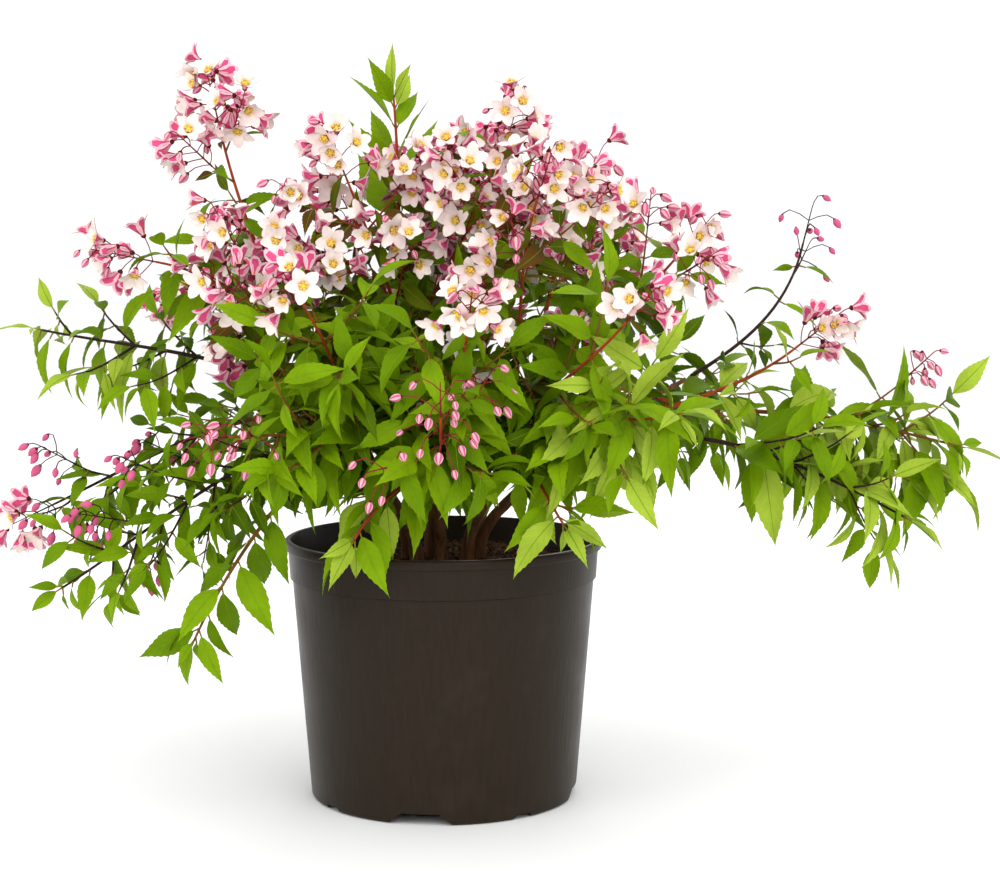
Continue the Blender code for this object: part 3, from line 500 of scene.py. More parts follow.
def grid_faces(rows, columns, loop=False):
    """Quads between rows of points, with the last column joined to the first for a loop."""
    faces = []
    for row in range(rows - 1):
        for k in range(columns if loop else columns - 1):
            after = (k + 1) % columns
            low = row * columns
            faces.append((low + k, low + columns + k, low + columns + after, low + after))
    return faces


def closed_faces(rings, sides):
    """Faces of a closed body between rings of points that go from its top down."""
    faces = grid_faces(rings, sides, loop=True)
    faces.append(tuple(range(sides)))
    faces.append(tuple(reversed(range(rings * sides - sides, rings * sides))))
    return faces


def turned_over(faces):
    return [tuple(reversed(face)) for face in faces]


def tube(points, radii, sides, relief=0.0, seed=0):
    """Vertices and faces of a closed tube. Relief roughens it with ridges that run along it."""
    ways = ways_along(points)
    across = ways[0].orthogonal().normalized()
    vertices = []
    for row, (point, way, radius) in enumerate(zip(points, ways, radii)):
        across = (across - way * across.dot(way)).normalized()
        other = way.cross(across)
        for k in range(sides):
            turn = math.tau * k / sides
            size = radius
            if relief:
                spot = Vector((math.cos(turn) * 2.2, math.sin(turn) * 2.2, row * 0.16 + seed * 7.3))
                size *= 1.0 - relief * abs(noise.noise(spot)) * 2.0
            vertices.append(point + (across * math.cos(turn) + other * math.sin(turn)) * size)
    return vertices, turned_over(closed_faces(len(points), sides))


def placed(points, root, along, up):
    """Local points, along, to the side and up, moved to their place on the plant."""
    side = up.cross(along)
    return points @ np.array([along, side, up]) + np.array(root)


def blade_up(point, along, tilt):
    """The upper side of a blade: it faces up and outwards, tipped by tilt."""
    outward = Vector((point.x * LIGHT_SIDE, point.y - LIGHT_BACK, 0.0)).normalized()
    light = outward * LIGHT_OUTWARD + Vector((0, 0, 1))
    side = along.cross(light)
    if side.length < LEVEL_LIMIT:
        side = along.orthogonal()
    up = side.normalized().cross(along).normalized()
    return (Matrix.Rotation(tilt, 3, along) @ up).normalized()


def leaf_swell(share):
    """A leaf's width at a share of its length, before it is scaled."""
    return share**LEAF_SWELL * (1.0 - share) ** LEAF_TAPER


def run_along(leans, step, start=(0.0, 0.0)):
    """How far ahead and aside a line gets by equal steps while its lean changes."""
    between = (leans[:-1] + leans[1:]) / 2
    ahead = start[0] + np.concatenate([[0.0], np.cumsum(np.cos(between)) * step])
    aside = start[1] + np.concatenate([[0.0], np.cumsum(np.sin(between)) * step])
    return ahead, aside


def blade_line(length, droop, twist):
    """A blade's drooping, twisting midrib: points, and the ways along, aside and above."""
    share = np.linspace(0.0, 1.0, LEAF_ROWS + 1)
    bend = droop * share
    ahead, below = run_along(bend, length / LEAF_ROWS)
    turn = (twist * share)[:, None]
    level = np.zeros_like(bend)
    along = np.stack([np.cos(bend), level, -np.sin(bend)], axis=1)
    normal = np.stack([np.sin(bend), level, np.cos(bend)], axis=1)
    flat = np.tile([0.0, 1.0, 0.0], (LEAF_ROWS + 1, 1))
    side = flat * np.cos(turn) + normal * np.sin(turn)
    above = normal * np.cos(turn) - flat * np.sin(turn)
    return np.stack([ahead, level, -below], axis=1), along, side, above


def leaf_points(line, length, fold, wave):
    """A blade folded up from its midrib, with a rippled edge of teeth that point to its tip."""
    centre, along, side, above = line
    share = np.linspace(0.0, 1.0, LEAF_ROWS + 1)
    outline = leaf_swell(share) / leaf_swell(LEAF_SWELL / (LEAF_SWELL + LEAF_TAPER))
    half = outline * length * LEAF_WIDTH / 2
    notch = np.arange(LEAF_ROWS + 1) % 2
    rows = []
    for column in LEAF_COLUMNS:
        reach = half * abs(column)
        ahead = np.zeros_like(half)
        if abs(column) == 1.0:
            reach = reach * (1.0 - LEAF_TOOTH * notch)
            ahead = (1 - notch) * np.minimum(1.0, 3 * outline) * TOOTH_LEAN * length / LEAF_ROWS
        ripple = wave * length * np.sin(share * 11.0 + column * 2.0) * abs(column) * outline
        out = side * (reach * math.cos(fold) * np.sign(column))[:, None]
        lift = above * (reach * math.sin(fold) + ripple)[:, None]
        rows.append(centre + out + along * ahead[:, None] + lift)
    return np.stack(rows, axis=1).reshape(-1, 3)


def rib_points(line):
    """The midrib: a narrow strip that stands on the fold of a blade."""
    centre, _, side, above = (part[:-1:RIB_STEP] for part in line)
    half = (RIB_WIDTH * np.linspace(1.0, RIB_END, len(centre)))[:, None]
    lifted = centre + above * RIB_LIFT
    return np.stack([lifted - side * half, lifted + side * half], axis=1).reshape(-1, 3)


LEAF_FACES = grid_faces(LEAF_ROWS + 1, len(LEAF_COLUMNS))
LEAF_PLACES = np.array([(0.5 + column / 2, row / LEAF_ROWS)
                        for row in range(LEAF_ROWS + 1) for column in LEAF_COLUMNS])
RIB_FACES = grid_faces(LEAF_ROWS // RIB_STEP, 2)


def petal_points(length, width, opening, inward):
    """One petal from the axis outwards: local x along the flower, y sideways, z outwards."""
    share = np.linspace(0.0, 1.0, PETAL_ROWS + 1)
    first = math.radians(PETAL_LEAN)
    lean = first + (opening - first) * np.minimum(1.0, share * 1.5)
    ahead, out = run_along(lean, length / PETAL_ROWS, PETAL_START)
    half = width / 2 * np.array(PETAL_OUTLINE)
    rows = []
    for column in PETAL_COLUMNS:
        lift = PETAL_CUP * half * column**2 + inward
        row = [ahead + lift * np.sin(lean), half * column, out - lift * np.cos(lean)]
        rows.append(np.stack(row, axis=1))
    return np.stack(rows, axis=1).reshape(-1, 3)


PETAL_FACES = grid_faces(PETAL_ROWS + 1, len(PETAL_COLUMNS))
PETAL_STRIPS = len(PETAL_COLUMNS) - 1
STRIPE_FACES = PETAL_FACES[1:-PETAL_STRIPS:PETAL_STRIPS]
PETAL_LAYERS = {
    "petals_stripe": (0.0, STRIPE_FACES),
    "petals_margin": (0.0, [face for face in PETAL_FACES if face not in STRIPE_FACES]),
    "petals_inside": (PETAL_THICKNESS, turned_over(PETAL_FACES)),
}


def spindle(rings, sides):
    """A closed body round the x axis through rings of height and radius."""
    vertices = []
    for height, radius in rings:
        for k in range(sides):
            turn = math.tau * k / sides
            vertices.append((height, radius * math.cos(turn), radius * math.sin(turn)))
    return np.array(vertices), turned_over(closed_faces(len(rings), sides))


BUD = spindle([(0.10, 0.12), (0.26, 0.25), (0.50, 0.30), (0.76, 0.22), (1.0, 0.03)], 10)
CALYX = spindle([(0.0, 0.0005), (0.0008, 0.0014), (0.0018, 0.0017), (0.0023, 0.0013)], 6)
ANTHER = spindle([(-0.0009, 0.0004), (0.0, 0.0009), (0.0009, 0.0004)], 4)
FILAMENTS = spindle([(0.0016, 0.0016), (0.0034, 0.0012), (0.0058, 0.0020), (0.0066, 0.0008)], 6)
CRUMB = spindle([(-0.5, 0.1), (-0.2, 0.45), (0.25, 0.42), (0.5, 0.1)], 6)


class Plant:
    """Everything that grows, gathered by kind and colour."""

    def __init__(self):
        low, high = CAD_BOX
        self.low = np.array(low) - EDGE_ROOM
        self.high = np.array(high) + EDGE_ROOM
        self.leaves = {tint: Batch() for tint in TINTS}
        self.parts = {colour: Batch() for colour in COLOURS}

    def vary(self, low, high):
        return float(self.random.uniform(low, high))

    def turned_on(self, across, way, spread):
        """The way across at the next node: a quarter turn on, more or less."""
        turn = math.radians(90 + self.vary(-spread, spread))
        return Matrix.Rotation(turn, 3, way) @ (across - way * across.dot(way)).normalized()

    def fits(self, points):
        """Whether points stay in the plant's reach and clear of pot and soil."""
        points = np.asarray(points, dtype=float)
        if np.any(points < self.low) or np.any(points > self.high):
            return False
        outward = np.hypot(points[:, 0], points[:, 1])
        if np.any((outward < CLEAR_RADIUS) & (points[:, 2] < self.dress["clear"])):
            return False
        beside = outward > RIM_RADIUS + POT_ROOM
        above = points[:, 2] > POT_HEIGHT + POT_ROOM
        inside = (outward < RIM_RADIUS - 3 * WALL) & (points[:, 2] > SOIL_TOP + POT_ROOM)
        return bool(np.all(beside | above | inside))

    def leaf(self, point, way, length, tint):
        """A leaf on its stalk, shorter where it would not fit."""
        fold = math.radians(self.vary(*LEAF_FOLD))
        droop = math.radians(self.vary(*LEAF_DROOP)) * self.dress["droop"]
        twist = math.radians(self.vary(-LEAF_TWIST, LEAF_TWIST))
        wave = self.vary(0.0, LEAF_WAVE)
        tilt = math.radians(self.vary(-LEAF_TILT, LEAF_TILT))
        up = blade_up(point, way, tilt)
        root = point + way * PETIOLE
        for share in LEAF_SHARES:
            line = blade_line(length * share, droop, twist)
            points = placed(leaf_points(line, length * share, fold, wave), root, way, up)
            if not self.fits(points):
                continue
            self.leaves[tint].add(points, LEAF_FACES, LEAF_PLACES)
            self.body("leaf_ribs", (rib_points(line), RIB_FACES), root, way, up)
            stalk = [point, point + way * PETIOLE * 1.15]
            self.parts["leaf_stalks"].add(*tube(stalk, (0.0006, 0.0005), 3))
            return

    def body(self, kind, shape, root, way, up, size=1.0):
        local, faces = shape
        self.parts[kind].add(placed(local * size, root, way, up), faces)

    def flower(self, root, way, size):
        """An open flower that faces along way: calyx, five petals in two layers, and stamens."""
        up = way.orthogonal().normalized()
        self.body("calyxes", CALYX, root, way, up)
        opening = math.radians(self.vary(*OPENING))
        first = self.vary(0, math.tau)
        for k in range(5):
            turned = Matrix.Rotation(first + math.tau * k / 5 + self.vary(-0.08, 0.08), 3, way) @ up
            lean = opening + math.radians(self.vary(-6, 6))
            length = PETAL_LENGTH * size * self.vary(0.94, 1.06)
            for kind, (inward, faces) in PETAL_LAYERS.items():
                points = petal_points(length, PETAL_WIDTH * size, lean, inward)
                self.body(kind, (points, faces), root, way, turned)
        self.body("stamens", FILAMENTS, root, way, up)
        for k in range(ANTHERS):
            turned = Matrix.Rotation(math.tau * k / ANTHERS, 3, way) @ up
            spot = root + way * (ANTHER_HEIGHT + ANTHER_STEP * (k % 2)) + turned * ANTHER_REACH
            self.body("stamens", ANTHER, spot, way, up)

    def bud(self, root, way, size):
        """A closed flower: five rose petals, the seams between them, and a calyx."""
        up = way.orthogonal().normalized()
        local, faces = BUD
        points = placed(local * BUD_LENGTH * size, root, way, up)
        self.parts["rose_buds"].add(points, faces[0:-2:2] + faces[-2:])
        self.parts[self.dress["stripe"]].add(points, faces[1:-2:2])
        self.body("calyxes", CALYX, root, way, up, size * CALYX_SHARE)

    def stalked(self, point, way, length, opened, size):
        """A flower or bud on its own stalk, which bends over as it nods."""
        outward = Vector((point.x, point.y, 0.0)).normalized() * NOD_OUTWARD
        nod = Vector((0, 0, -self.vary(*(FLOWER_NOD if opened else BUD_NOD))))
        sway = Vector((self.vary(-NOD_SWAY, NOD_SWAY), self.vary(-NOD_SWAY, NOD_SWAY), 0.0))
        face = (way + nod + outward + sway).normalized()
        end = point + (way * 0.7 + face * 0.3).normalized() * length
        reach = end + face * PETAL_LENGTH * size
        if not self.fits([end, reach]):
            return
        line = arch(point, way, end, face, STALK_POINTS)
        self.parts[self.dress["stalk"]].add(*tube(line, [STALK_RADIUS] * STALK_POINTS, 4))
        if opened:
            self.flower(end, face, size)
        else:
            self.bud(end, face, self.vary(*BUD_SPREAD) * size * self.dress["bud"])

    def head(self, point, way, length, opened):
        """A cluster: pairs of stalks up a thin axis, each pair a quarter turn on, buds at the top."""
        lax = self.dress["lax"]
        pairs = max(2, round(length / (HEAD_SPACING * lax)))
        across = way.orthogonal().normalized()
        across = Matrix.Rotation(self.vary(0, math.pi), 3, way) @ across
        end = point + way * length
        self.parts[self.dress["stalk"]].add(*tube([point, end], (STALK_RADIUS * 1.7, STALK_RADIUS), 4))
        for k in range(pairs):
            share = (k + 0.3) / pairs
            spot = point.lerp(end, share)
            across = self.turned_on(across, way, HEAD_SPREAD)
            for sign in (1, -1):
                lean = (across * sign + way * self.vary(0.4, 0.8)).normalized()
                stalk = STALK_LENGTH * lax * (1.15 - 0.6 * share) * self.vary(0.8, 1.2)
                is_open = opened and self.vary(0, 1) > 0.05 + self.dress["budded"] * share
                self.stalked(spot, lean, stalk, is_open, self.vary(*FLOWER_SIZES))
        self.stalked(end, way, STALK_LENGTH * lax * 0.5, opened and self.vary(0, 1) < 0.5, 0.9)

    def pair(self, point, way, across, length, tints):
        """Two opposite leaves."""
        for sign, back in ((1, 0.0), (-1, PAIR_STEP)):
            lean = (way * self.dress["rise"] * self.vary(0.65, 1.35) + across * sign).normalized()
            lean = (lean + Vector((0, 0, -self.dress["hang"]))).normalized()
            tint = tints[int(self.vary(0, len(tints)))]
            self.leaf(point - way * back, lean, length * self.vary(*SIZE_SPREAD), tint)

    def side_twig(self, point, way, across, length, kind, tints, flowering):
        """A side twig with leaf pairs of its own, bent up a little, and its end."""
        end_way = (way + Vector((0, 0, SIDE_TWIG_RISE))).normalized()
        for share in (1.0, 0.7):
            reach = length * share
            end = point + (way * 0.75 + end_way * 0.25) * reach
            points = arch(point, way, end, end_way, SIDE_TWIG_POINTS)
            if self.fits(points):
                break
        else:
            return
        radii = np.linspace(SIDE_TWIG_RADIUS, SIDE_TWIG_TIP_RADIUS, SIDE_TWIG_POINTS)
        self.parts[self.dress["side"]].add(*tube(points, radii, 4))
        ways = ways_along(points)
        count = max(1, round(reach / SIDE_NODE_SPACING))
        for k in range(1, count + 1):
            place = k / (count + 0.35)
            step = place * (len(points) - 1)
            low = min(int(step), len(points) - 2)
            spot = points[low].lerp(points[low + 1], step - low)
            across = self.turned_on(across, ways[low], SIDE_NODE_SPREAD)
            self.pair(spot, ways[low], across, self.leaf_size * (0.85 - 0.22 * place), tints)
        if flowering:
            opened = kind == "flowers" and self.dress["open"]
            self.head(points[-1], ways[-1], self.vary(*SIDE_HEAD), opened)
        else:
            self.leaf(points[-1], ways[-1], self.leaf_size * 0.65, tints[0])

    def shoot(self, name, line, number):
        """One mass: a stem with leaf pairs and side twigs at its nodes, and its end."""
        self.random = np.random.default_rng([SEED, number])
        *_, spread, kind = MASSES[name]
        self.dress = dress = {**PLAIN, **DRESS.get(name, {})}
        self.leaf_size = LEAF_LENGTH * dress["leaf"]
        sprays = SPRAYS[dress["tints"]]
        tip_tints = sprays[-1]
        length = sum((b - a).length for a, b in zip(line, line[1:]))
        count = max(4, round(length / NODE_SPACING))
        points = respaced(line, count * 3 + 1)
        radii = np.linspace(TWIG_RADIUS, TWIG_TIP_RADIUS, len(points))
        self.parts[dress["stem"]].add(*tube(points, radii, 6))
        ways = ways_along(points)
        across = ways[0].orthogonal().normalized()
        across = Matrix.Rotation(self.vary(0, math.pi), 3, ways[0]) @ across
        for k in range(1, count):
            spot = points[k * 3]
            way = ways[k * 3]
            share = k / count
            across = self.turned_on(across, way, NODE_SPREAD)
            tints = sprays[int(share * len(sprays))]
            leaf = self.leaf_size * (1.12 - 0.30 * share)
            if share < dress["bare"]:
                continue
            if kind == "leaves" or share < dress["pairs"]:
                self.pair(spot, way, across, leaf, tints)
            if kind == "buds" and share > dress["budding"]:
                self.head(spot, (across + way).normalized(), NODE_HEAD, False)
                self.head(spot, (way - across).normalized(), NODE_HEAD, False)
                continue
            if share > TWIG_END:
                continue
            for sign in (1, -1):
                if self.vary(0, 1) > dress["twigs"]:
                    continue
                angle = math.radians(SIDE_TWIG_ANGLE + self.vary(-SIDE_TWIG_SPREAD, SIDE_TWIG_SPREAD))
                out = (way * math.cos(angle) + across * sign * math.sin(angle)).normalized()
                reach = SIDE_TWIG_LENGTH * spread * (1.1 - 0.55 * share) * self.vary(0.6, 1.15)
                budding = kind != "leaves" or self.vary(0, 1) < dress["sprigs"]
                flowering = budding and share > dress["blossom"]
                self.side_twig(spot, out, across, reach, kind, tints, flowering)
        if kind == "leaves":
            self.pair(points[-2], ways[-2], across, self.leaf_size * 0.80, tip_tints)
            across = Matrix.Rotation(math.radians(90), 3, ways[-1]) @ across
            self.pair(points[-1], ways[-1], across, self.leaf_size * 0.45, tip_tints)
            self.leaf(points[-1], ways[-1], self.leaf_size * 0.6, tip_tints[0])
        else:
            self.head(points[-1], ways[-1], dress["head"], kind == "flowers")


def add_node(tree, kind, links=None, **settings):
    """A shader node with its settings, and its inputs linked or set."""
    made = tree.nodes.new("ShaderNode" + kind)
    for key, value in settings.items():
        setattr(made, key, value)
    for key, value in (links or {}).items():
        if isinstance(value, bpy.types.NodeSocket):
            tree.links.new(value, made.inputs[key])
        else:
            made.inputs[key].default_value = value
    return made


def ranged(tree, value, low, high, new_low, new_high):
    """A value moved from one range to another."""
    made = add_node(tree, "MapRange", {"Value": value, "From Min": low, "From Max": high,
                                       "To Min": new_low, "To Max": new_high})
    return made.outputs[0]


def worked(tree, operation, *values):
    """What a math node makes of sockets and numbers."""
    made = add_node(tree, "Math", dict(enumerate(values)), operation=operation)
    return made.outputs[0]


def mix_in(tree, shader, share, colour):
    """Mixes a share of one more colour into a shader's base colour."""
    old = shader.inputs["Base Color"].links[0].from_socket
    mixed = add_node(tree, "Mix", {"Factor": share}, data_type="RGBA")
    tree.links.new(old, mixed.inputs[6])
    mixed.inputs[7].default_value = colour
    tree.links.new(mixed.outputs[2], shader.inputs["Base Color"])


def new_material(name, colour, roughness):
    material = bpy.data.materials.new(name)
    material.use_nodes = True
    shader = material.node_tree.nodes["Principled BSDF"]
    shader.inputs["Base Color"].default_value = (*colour, 1.0)
    shader.inputs["Roughness"].default_value = roughness
    return material, material.node_tree, shader


def shaded(colour, factor):
    return (*(part * factor for part in colour), 1.0)


def mottled_material(name, colour, roughness, scale, contrast, bump, stretch=(1, 1, 1)):
    """A plain colour with fine mottling and relief from noise."""
    material, tree, shader = new_material(name, colour, roughness)
    place = add_node(tree, "TexCoord")
    spread = add_node(tree, "Mapping", {"Vector": place.outputs["Object"], "Scale": stretch})
    grain = add_node(tree, "TexNoise", {"Vector": spread.outputs[0], "Scale": scale, "Detail": 6.0})
    ramp = add_node(tree, "ValToRGB", {"Fac": grain.outputs["Fac"]})
    stops = ((0.3, 1.0 - contrast), (0.7, 1.0 + contrast))
    for stop, (share, factor) in zip(ramp.color_ramp.elements, stops):
        stop.position = share
        stop.color = shaded(colour, factor)
    tree.links.new(ramp.outputs["Color"], shader.inputs["Base Color"])
    relief = add_node(tree, "Bump", {"Height": grain.outputs["Fac"], "Distance": bump})
    tree.links.new(relief.outputs["Normal"], shader.inputs["Normal"])
    shader.inputs["Specular IOR Level"].default_value = SHEEN
    return material, tree, shader


def leaf_material(tint):
    """A blade: its colour, slightly lighter side veins, and the quilted relief between them."""
    colour, roughness = TINTS[tint]
    material, tree, shader = mottled_material("leaf_" + tint, colour, roughness, 60.0, 0.16, 0.0002)
    place = add_node(tree, "UVMap", uv_map="blade")
    parts = add_node(tree, "SeparateXYZ", {0: place.outputs["UV"]})
    side = worked(tree, "ABSOLUTE", worked(tree, "SUBTRACT", parts.outputs["X"], 0.5))
    slant = worked(tree, "MULTIPLY", side, VEIN_SLANT)
    run = worked(tree, "MULTIPLY_ADD", parts.outputs["Y"], VEIN_PAIRS, slant)
    vein = worked(tree, "PINGPONG", run, 0.5)
    share = worked(tree, "MULTIPLY", ranged(tree, vein, 0.0, VEIN_WIDTH, 1.0, 0.0), VEIN_SHARE)
    mix_in(tree, shader, share, shaded(colour, 1.7))
    quilt = add_node(tree, "Bump", {"Height": vein, "Distance": 0.0004, "Strength": 0.5})
    tree.links.new(quilt.outputs["Normal"], shader.inputs["Normal"])
    return material


def grow_plant(axes):
    plant = Plant()
    for number, (name, line) in enumerate(axes.items()):
        plant.shoot(name, line, number)
    for tint, batch in plant.leaves.items():
        batch.piece("leaves_" + tint, leaf_material(tint), "leaves")
    for kind, batch in plant.parts.items():
        colour, roughness, slot = COLOURS[kind]
        batch.piece(kind, mottled_material(kind, colour, roughness, 180.0, 0.12, 0.0001)[0], slot)
    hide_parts(*("mass_" + name for name in MASSES))


def grow_bark(stems, boughs):
    """Stems and boughs with ridged bark, in place of their solids."""
    batch = Batch()
    for limbs, rings, spokes, first in ((stems, STEM_RINGS, STEM_SPOKES, 0),
                                        (boughs, BOUGH_RINGS, BOUGH_SPOKES, BOUGH_SEED)):
        for number, (line, radii) in enumerate(limbs, first):
            sizes = np.interp(np.linspace(0, 1, rings), np.linspace(0, 1, len(radii)), radii)
            batch.add(*tube(respaced(line, rings), sizes, spokes, BARK_RELIEF, number))
    material = mottled_material("bark", (0.150, 0.068, 0.032), 0.75, 260.0, 0.45, 0.0006, (1, 1, 0.2))[0]
    bark = batch.piece("bark", material, "bark")
    nodes = ["stem_" + name for name in STEMS]
    nodes += ["bough_" + name for name, row in MASSES.items() if row[1]]
    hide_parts(*nodes)


def ring_of(radius, height, sides):
    return [polar(360.0 * k / sides, radius, height) for k in range(sides)]


def turned_mesh(name, profile, sides):
    """A closed solid turned from a profile of radius and height that starts and ends on the axis."""
    vertices = []
    rings = []
    for radius, height in profile:
        if radius == 0.0:
            rings.append([len(vertices)])
            vertices.append((0.0, 0.0, height))
            continue
        rings.append(list(range(len(vertices), len(vertices) + sides)))
        vertices += ring_of(radius, height, sides)
    faces = []
    for low, high in zip(rings, rings[1:]):
        for k in range(sides):
            after = (k + 1) % sides
            corners = [low[k % len(low)], low[after % len(low)]]
            corners += [high[after % len(high)], high[k % len(high)]]
            faces.append(list(dict.fromkeys(corners)))
    return new_object(name, vertices, faces)


def notch_block(bearing, notch, grow):
    """A block with sloping ends that stands for one drain notch, larger by grow on every side."""
    top = notch["height"] + grow
    slope = (notch["foot"] - notch["top"]) / notch["height"]
    below = -2 * (grow + OVERCUT)
    half_top = notch["top"] + grow
    half_foot = half_top + slope * (top - below)
    outline = [(-half_foot, below), (half_foot, below), (half_top, top), (-half_top, top)]
    vertices = []
    for radius in (NOTCH_INNER_RADIUS - grow, NOTCH_OUTER_RADIUS + grow):
        for side, height in outline:
            vertices.append(Matrix.Rotation(math.radians(bearing), 4, "Z") @ Vector((radius, side, height)))
    return new_object("notch", vertices, turned_over(closed_faces(2, 4)))


def notch_blocks(grow):
    blocks = []
    for k in range(NOTCH_PAIRS):
        bearing = NOTCH_BEARING + 360.0 * k / NOTCH_PAIRS
        blocks.append(notch_block(bearing, LARGE_NOTCH, grow))
        blocks.append(notch_block(bearing + 180.0 / NOTCH_PAIRS, SMALL_NOTCH, grow))
    return blocks


def cut_away(body, cutters):
    """Takes each cutter out of the body, then removes the cutter."""
    for cutter in cutters:
        cut = body.modifiers.new("cut", "BOOLEAN")
        cut.operation = "DIFFERENCE"
        cut.object = cutter
        bpy.context.view_layer.update()
        graph = bpy.context.evaluated_depsgraph_get()
        mesh = bpy.data.meshes.new_from_object(body.evaluated_get(graph))
        body.modifiers.clear()
        body.data = mesh
        bpy.data.objects.remove(cutter, do_unlink=True)


def arc(centre_radius, centre_height, size, first, last):
    """Profile points on an arc, with angles in degrees from outwards towards up."""
    points = []
    for angle in np.linspace(math.radians(first), math.radians(last), ARC_STEPS):
        points.append((centre_radius + size * math.cos(angle), centre_height + size * math.sin(angle)))
    return points


def pot_material():
    """Matt black-brown moulded plastic: faint upright streaks, blots of dust, and soft grain."""
    colour = (0.0215, 0.0146, 0.0090)
    stretch = (1, 1, 0.12)
    material, tree, shader = mottled_material("pot_plastic", colour, 0.42, 420.0, 0.09, 0.00012, stretch)
    place = add_node(tree, "TexCoord")
    blots = add_node(tree, "TexNoise", {"Vector": place.outputs["Object"], "Scale": 38.0, "Detail": 8.0})
    marks = blots.outputs["Fac"]
    tree.links.new(ranged(tree, marks, 0.3, 0.7, 0.30, 0.42), shader.inputs["Roughness"])
    mix_in(tree, shader, ranged(tree, marks, 0.56, 0.80, 0.0, 0.25), DUST)
    shader.inputs["Specular IOR Level"].default_value = POT_SHEEN
    return material


def make_pot():
    shoulder = POT_HEIGHT - COLLAR_HEIGHT
    bead_foot = POT_HEIGHT - BEAD_HEIGHT
    neck = RIM_RADIUS - BEAD_NECK
    outline = [(0.0, 0.0)]
    outline += arc(BASE_RADIUS - BASE_ROUND, BASE_ROUND, BASE_ROUND, -90, 0)
    outline += [(WALL_TOP_RADIUS, shoulder), (COLLAR_FOOT_RADIUS, shoulder + COLLAR_LEDGE)]
    outline += [(neck - BEAD_FILLET, bead_foot - BEAD_FILLET), (neck - BEAD_FILLET, bead_foot)]
    outline += arc(RIM_RADIUS - BEAD_FILLET, bead_foot + BEAD_FILLET, BEAD_FILLET, -90, 0)
    outline += arc(RIM_RADIUS - LIP_ROUND, POT_HEIGHT - LIP_ROUND, LIP_ROUND, 8, 90)
    outline += [(0.0, POT_HEIGHT)]
    pot = turned_mesh("pot_shell", outline, POT_SIDES)
    foot = BASE_RADIUS - WALL
    inner = [
        (0.0, WALL),
        (foot - BASE_ROUND, WALL),
        (foot, WALL + BASE_ROUND),
        (WALL_TOP_RADIUS - WALL, shoulder - WALL),
        (COLLAR_FOOT_RADIUS - WALL, shoulder + WALL),
        (RIM_RADIUS - LIP_WIDTH - 0.0002, POT_HEIGHT - 0.0012),
        (RIM_RADIUS - LIP_WIDTH + 0.0008, POT_HEIGHT + OVERCUT),
        (0.0, POT_HEIGHT + OVERCUT),
    ]
    hollow = turned_mesh("hollow", inner, POT_SIDES)
    cut_away(hollow, notch_blocks(WALL))
    cut_away(pot, [hollow] + notch_blocks(0.0))
    pot.data.materials.append(pot_material())
    pot.data.shade_smooth()
    pot.data.set_sharp_from_angle(angle=math.radians(38))
    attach(pot, "root")
    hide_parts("pot")


def soil_height(x, y):
    """The crumbly top of the soil: level in the middle, lower at the wall, and rough."""
    reach = math.hypot(x, y)
    edge = RIM_RADIUS - LIP_WIDTH
    drop = SOIL_EDGE_DROP * max(0.0, reach - SOIL_FLAT_RADIUS) / (edge - SOIL_FLAT_RADIUS)
    rough = 0.0
    for scale, layer, share in SOIL_NOISE:
        rough += share * noise.noise(Vector((x * scale, y * scale, layer)))
    return SOIL_TOP - drop + SOIL_RELIEF * rough


def soil_material(name, colour, contrast):
    return mottled_material(name, colour, 0.9, 700.0, contrast, 0.0008)[0]


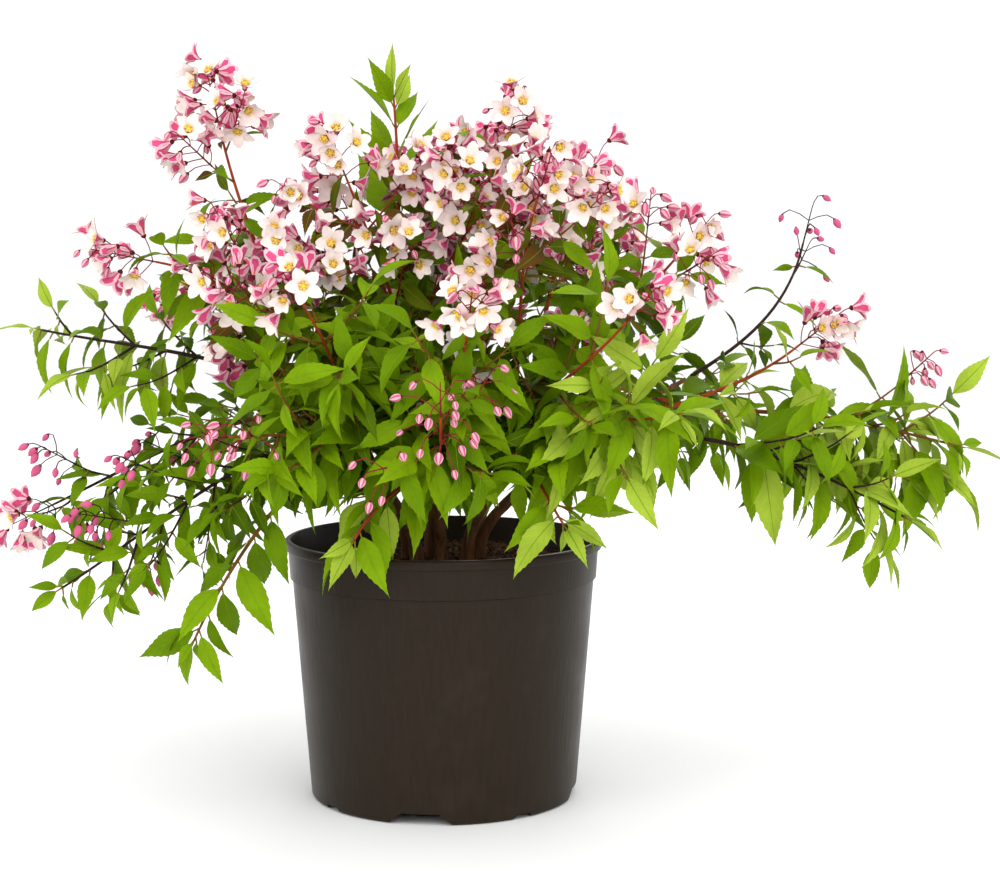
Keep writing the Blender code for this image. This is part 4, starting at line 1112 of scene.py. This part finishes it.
def make_soil():
    """The soil's body in the pot, with crumbs and pale flecks lying on it."""
    batch = Batch()
    shoulder = POT_HEIGHT - COLLAR_HEIGHT
    wall = COLLAR_FOOT_RADIUS - WALL - GAP
    vertices = []
    for ring in range(SOIL_RINGS + 1):
        reach = wall * (ring + 0.02) / (SOIL_RINGS + 0.02)
        for spot in ring_of(reach, 0.0, SOIL_SPOKES):
            vertices.append((spot.x, spot.y, soil_height(spot.x, spot.y)))
    for reach, height in ((wall, shoulder + WALL), (WALL_TOP_RADIUS - WALL - GAP, shoulder - WALL),
                          (BASE_RADIUS - WALL - GAP, SOIL_FOOT)):
        vertices += ring_of(reach, height, SOIL_SPOKES)
    batch.add(vertices, closed_faces(len(vertices) // SOIL_SPOKES, SOIL_SPOKES))
    soil = batch.piece("soil_body", soil_material("soil", (0.055, 0.029, 0.015), 0.6), "soil")
    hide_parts("soil")
    random = np.random.default_rng(SEED + 1)
    shape, shape_faces = CRUMB
    for name, (count, sizes, colour) in BITS.items():
        bits = Batch()
        for _ in range(count):
            reach = (wall - 0.003) * math.sqrt(random.uniform(0.0, 1.0))
            spot = polar(random.uniform(0, 360), reach, 0.0)
            size = random.uniform(*sizes)
            spot.z = soil_height(spot.x, spot.y) + size * 0.15
            way = Vector(random.normal(size=3)).normalized()
            local = shape * size * random.uniform(0.6, 1.4, size=3)
            local = local * random.uniform(0.85, 1.15, size=shape.shape)
            bits.add(placed(local, spot, way, way.orthogonal().normalized()), shape_faces)
        bits.piece(name, soil_material(name, colour, 0.4), "soil", smooth=False)


def make_stage():
    square = ((-1, -1), (1, -1), (1, 1), (-1, 1))
    corners = [(x * FLOOR_HALF, y * FLOOR_HALF, -FLOOR_GAP) for x, y in square]
    floor = new_object("floor", corners, [(0, 1, 2, 3)])
    floor.data.materials.append(new_material("floor", (0.95, 0.95, 0.95), 0.9)[0])


def make_lights():
    """White surroundings, and square lights that shine at the plant's axis at a height."""
    world = bpy.data.worlds.new("studio")
    bpy.context.scene.world = world
    world.use_nodes = True
    backdrop = world.node_tree.nodes["Background"]
    backdrop.inputs["Color"].default_value = (1, 1, 1, 1)
    backdrop.inputs["Strength"].default_value = BACKDROP
    for name, (place, height, size, power) in LIGHTS.items():
        data = bpy.data.lights.new(name, "AREA")
        data.shape = "SQUARE"
        data.size = size
        data.energy = power
        light = linked(name, data)
        light.location = place
        light.rotation_euler = (Vector((0, 0, height)) - light.location).to_track_quat("-Z", "Y").to_euler()


def make_camera():
    """The photograph's view: just in front of the plant, level with its middle, tipped down."""
    data = bpy.data.cameras.new("camera")
    data.lens = LENS
    camera = linked("camera", data)
    camera.location = CAMERA_PLACE
    camera.rotation_euler = (math.radians(90 - CAMERA_TILT), 0.0, 0.0)
    bpy.context.scene.camera = camera
    bpy.context.scene.view_settings.view_transform = "Standard"


stems, boughs, axes = limb_lines()
make_pot()
make_soil()
grow_bark(stems, boughs)
grow_plant(axes)
make_stage()
make_lights()
make_camera()
bpy.context.view_layer.update()
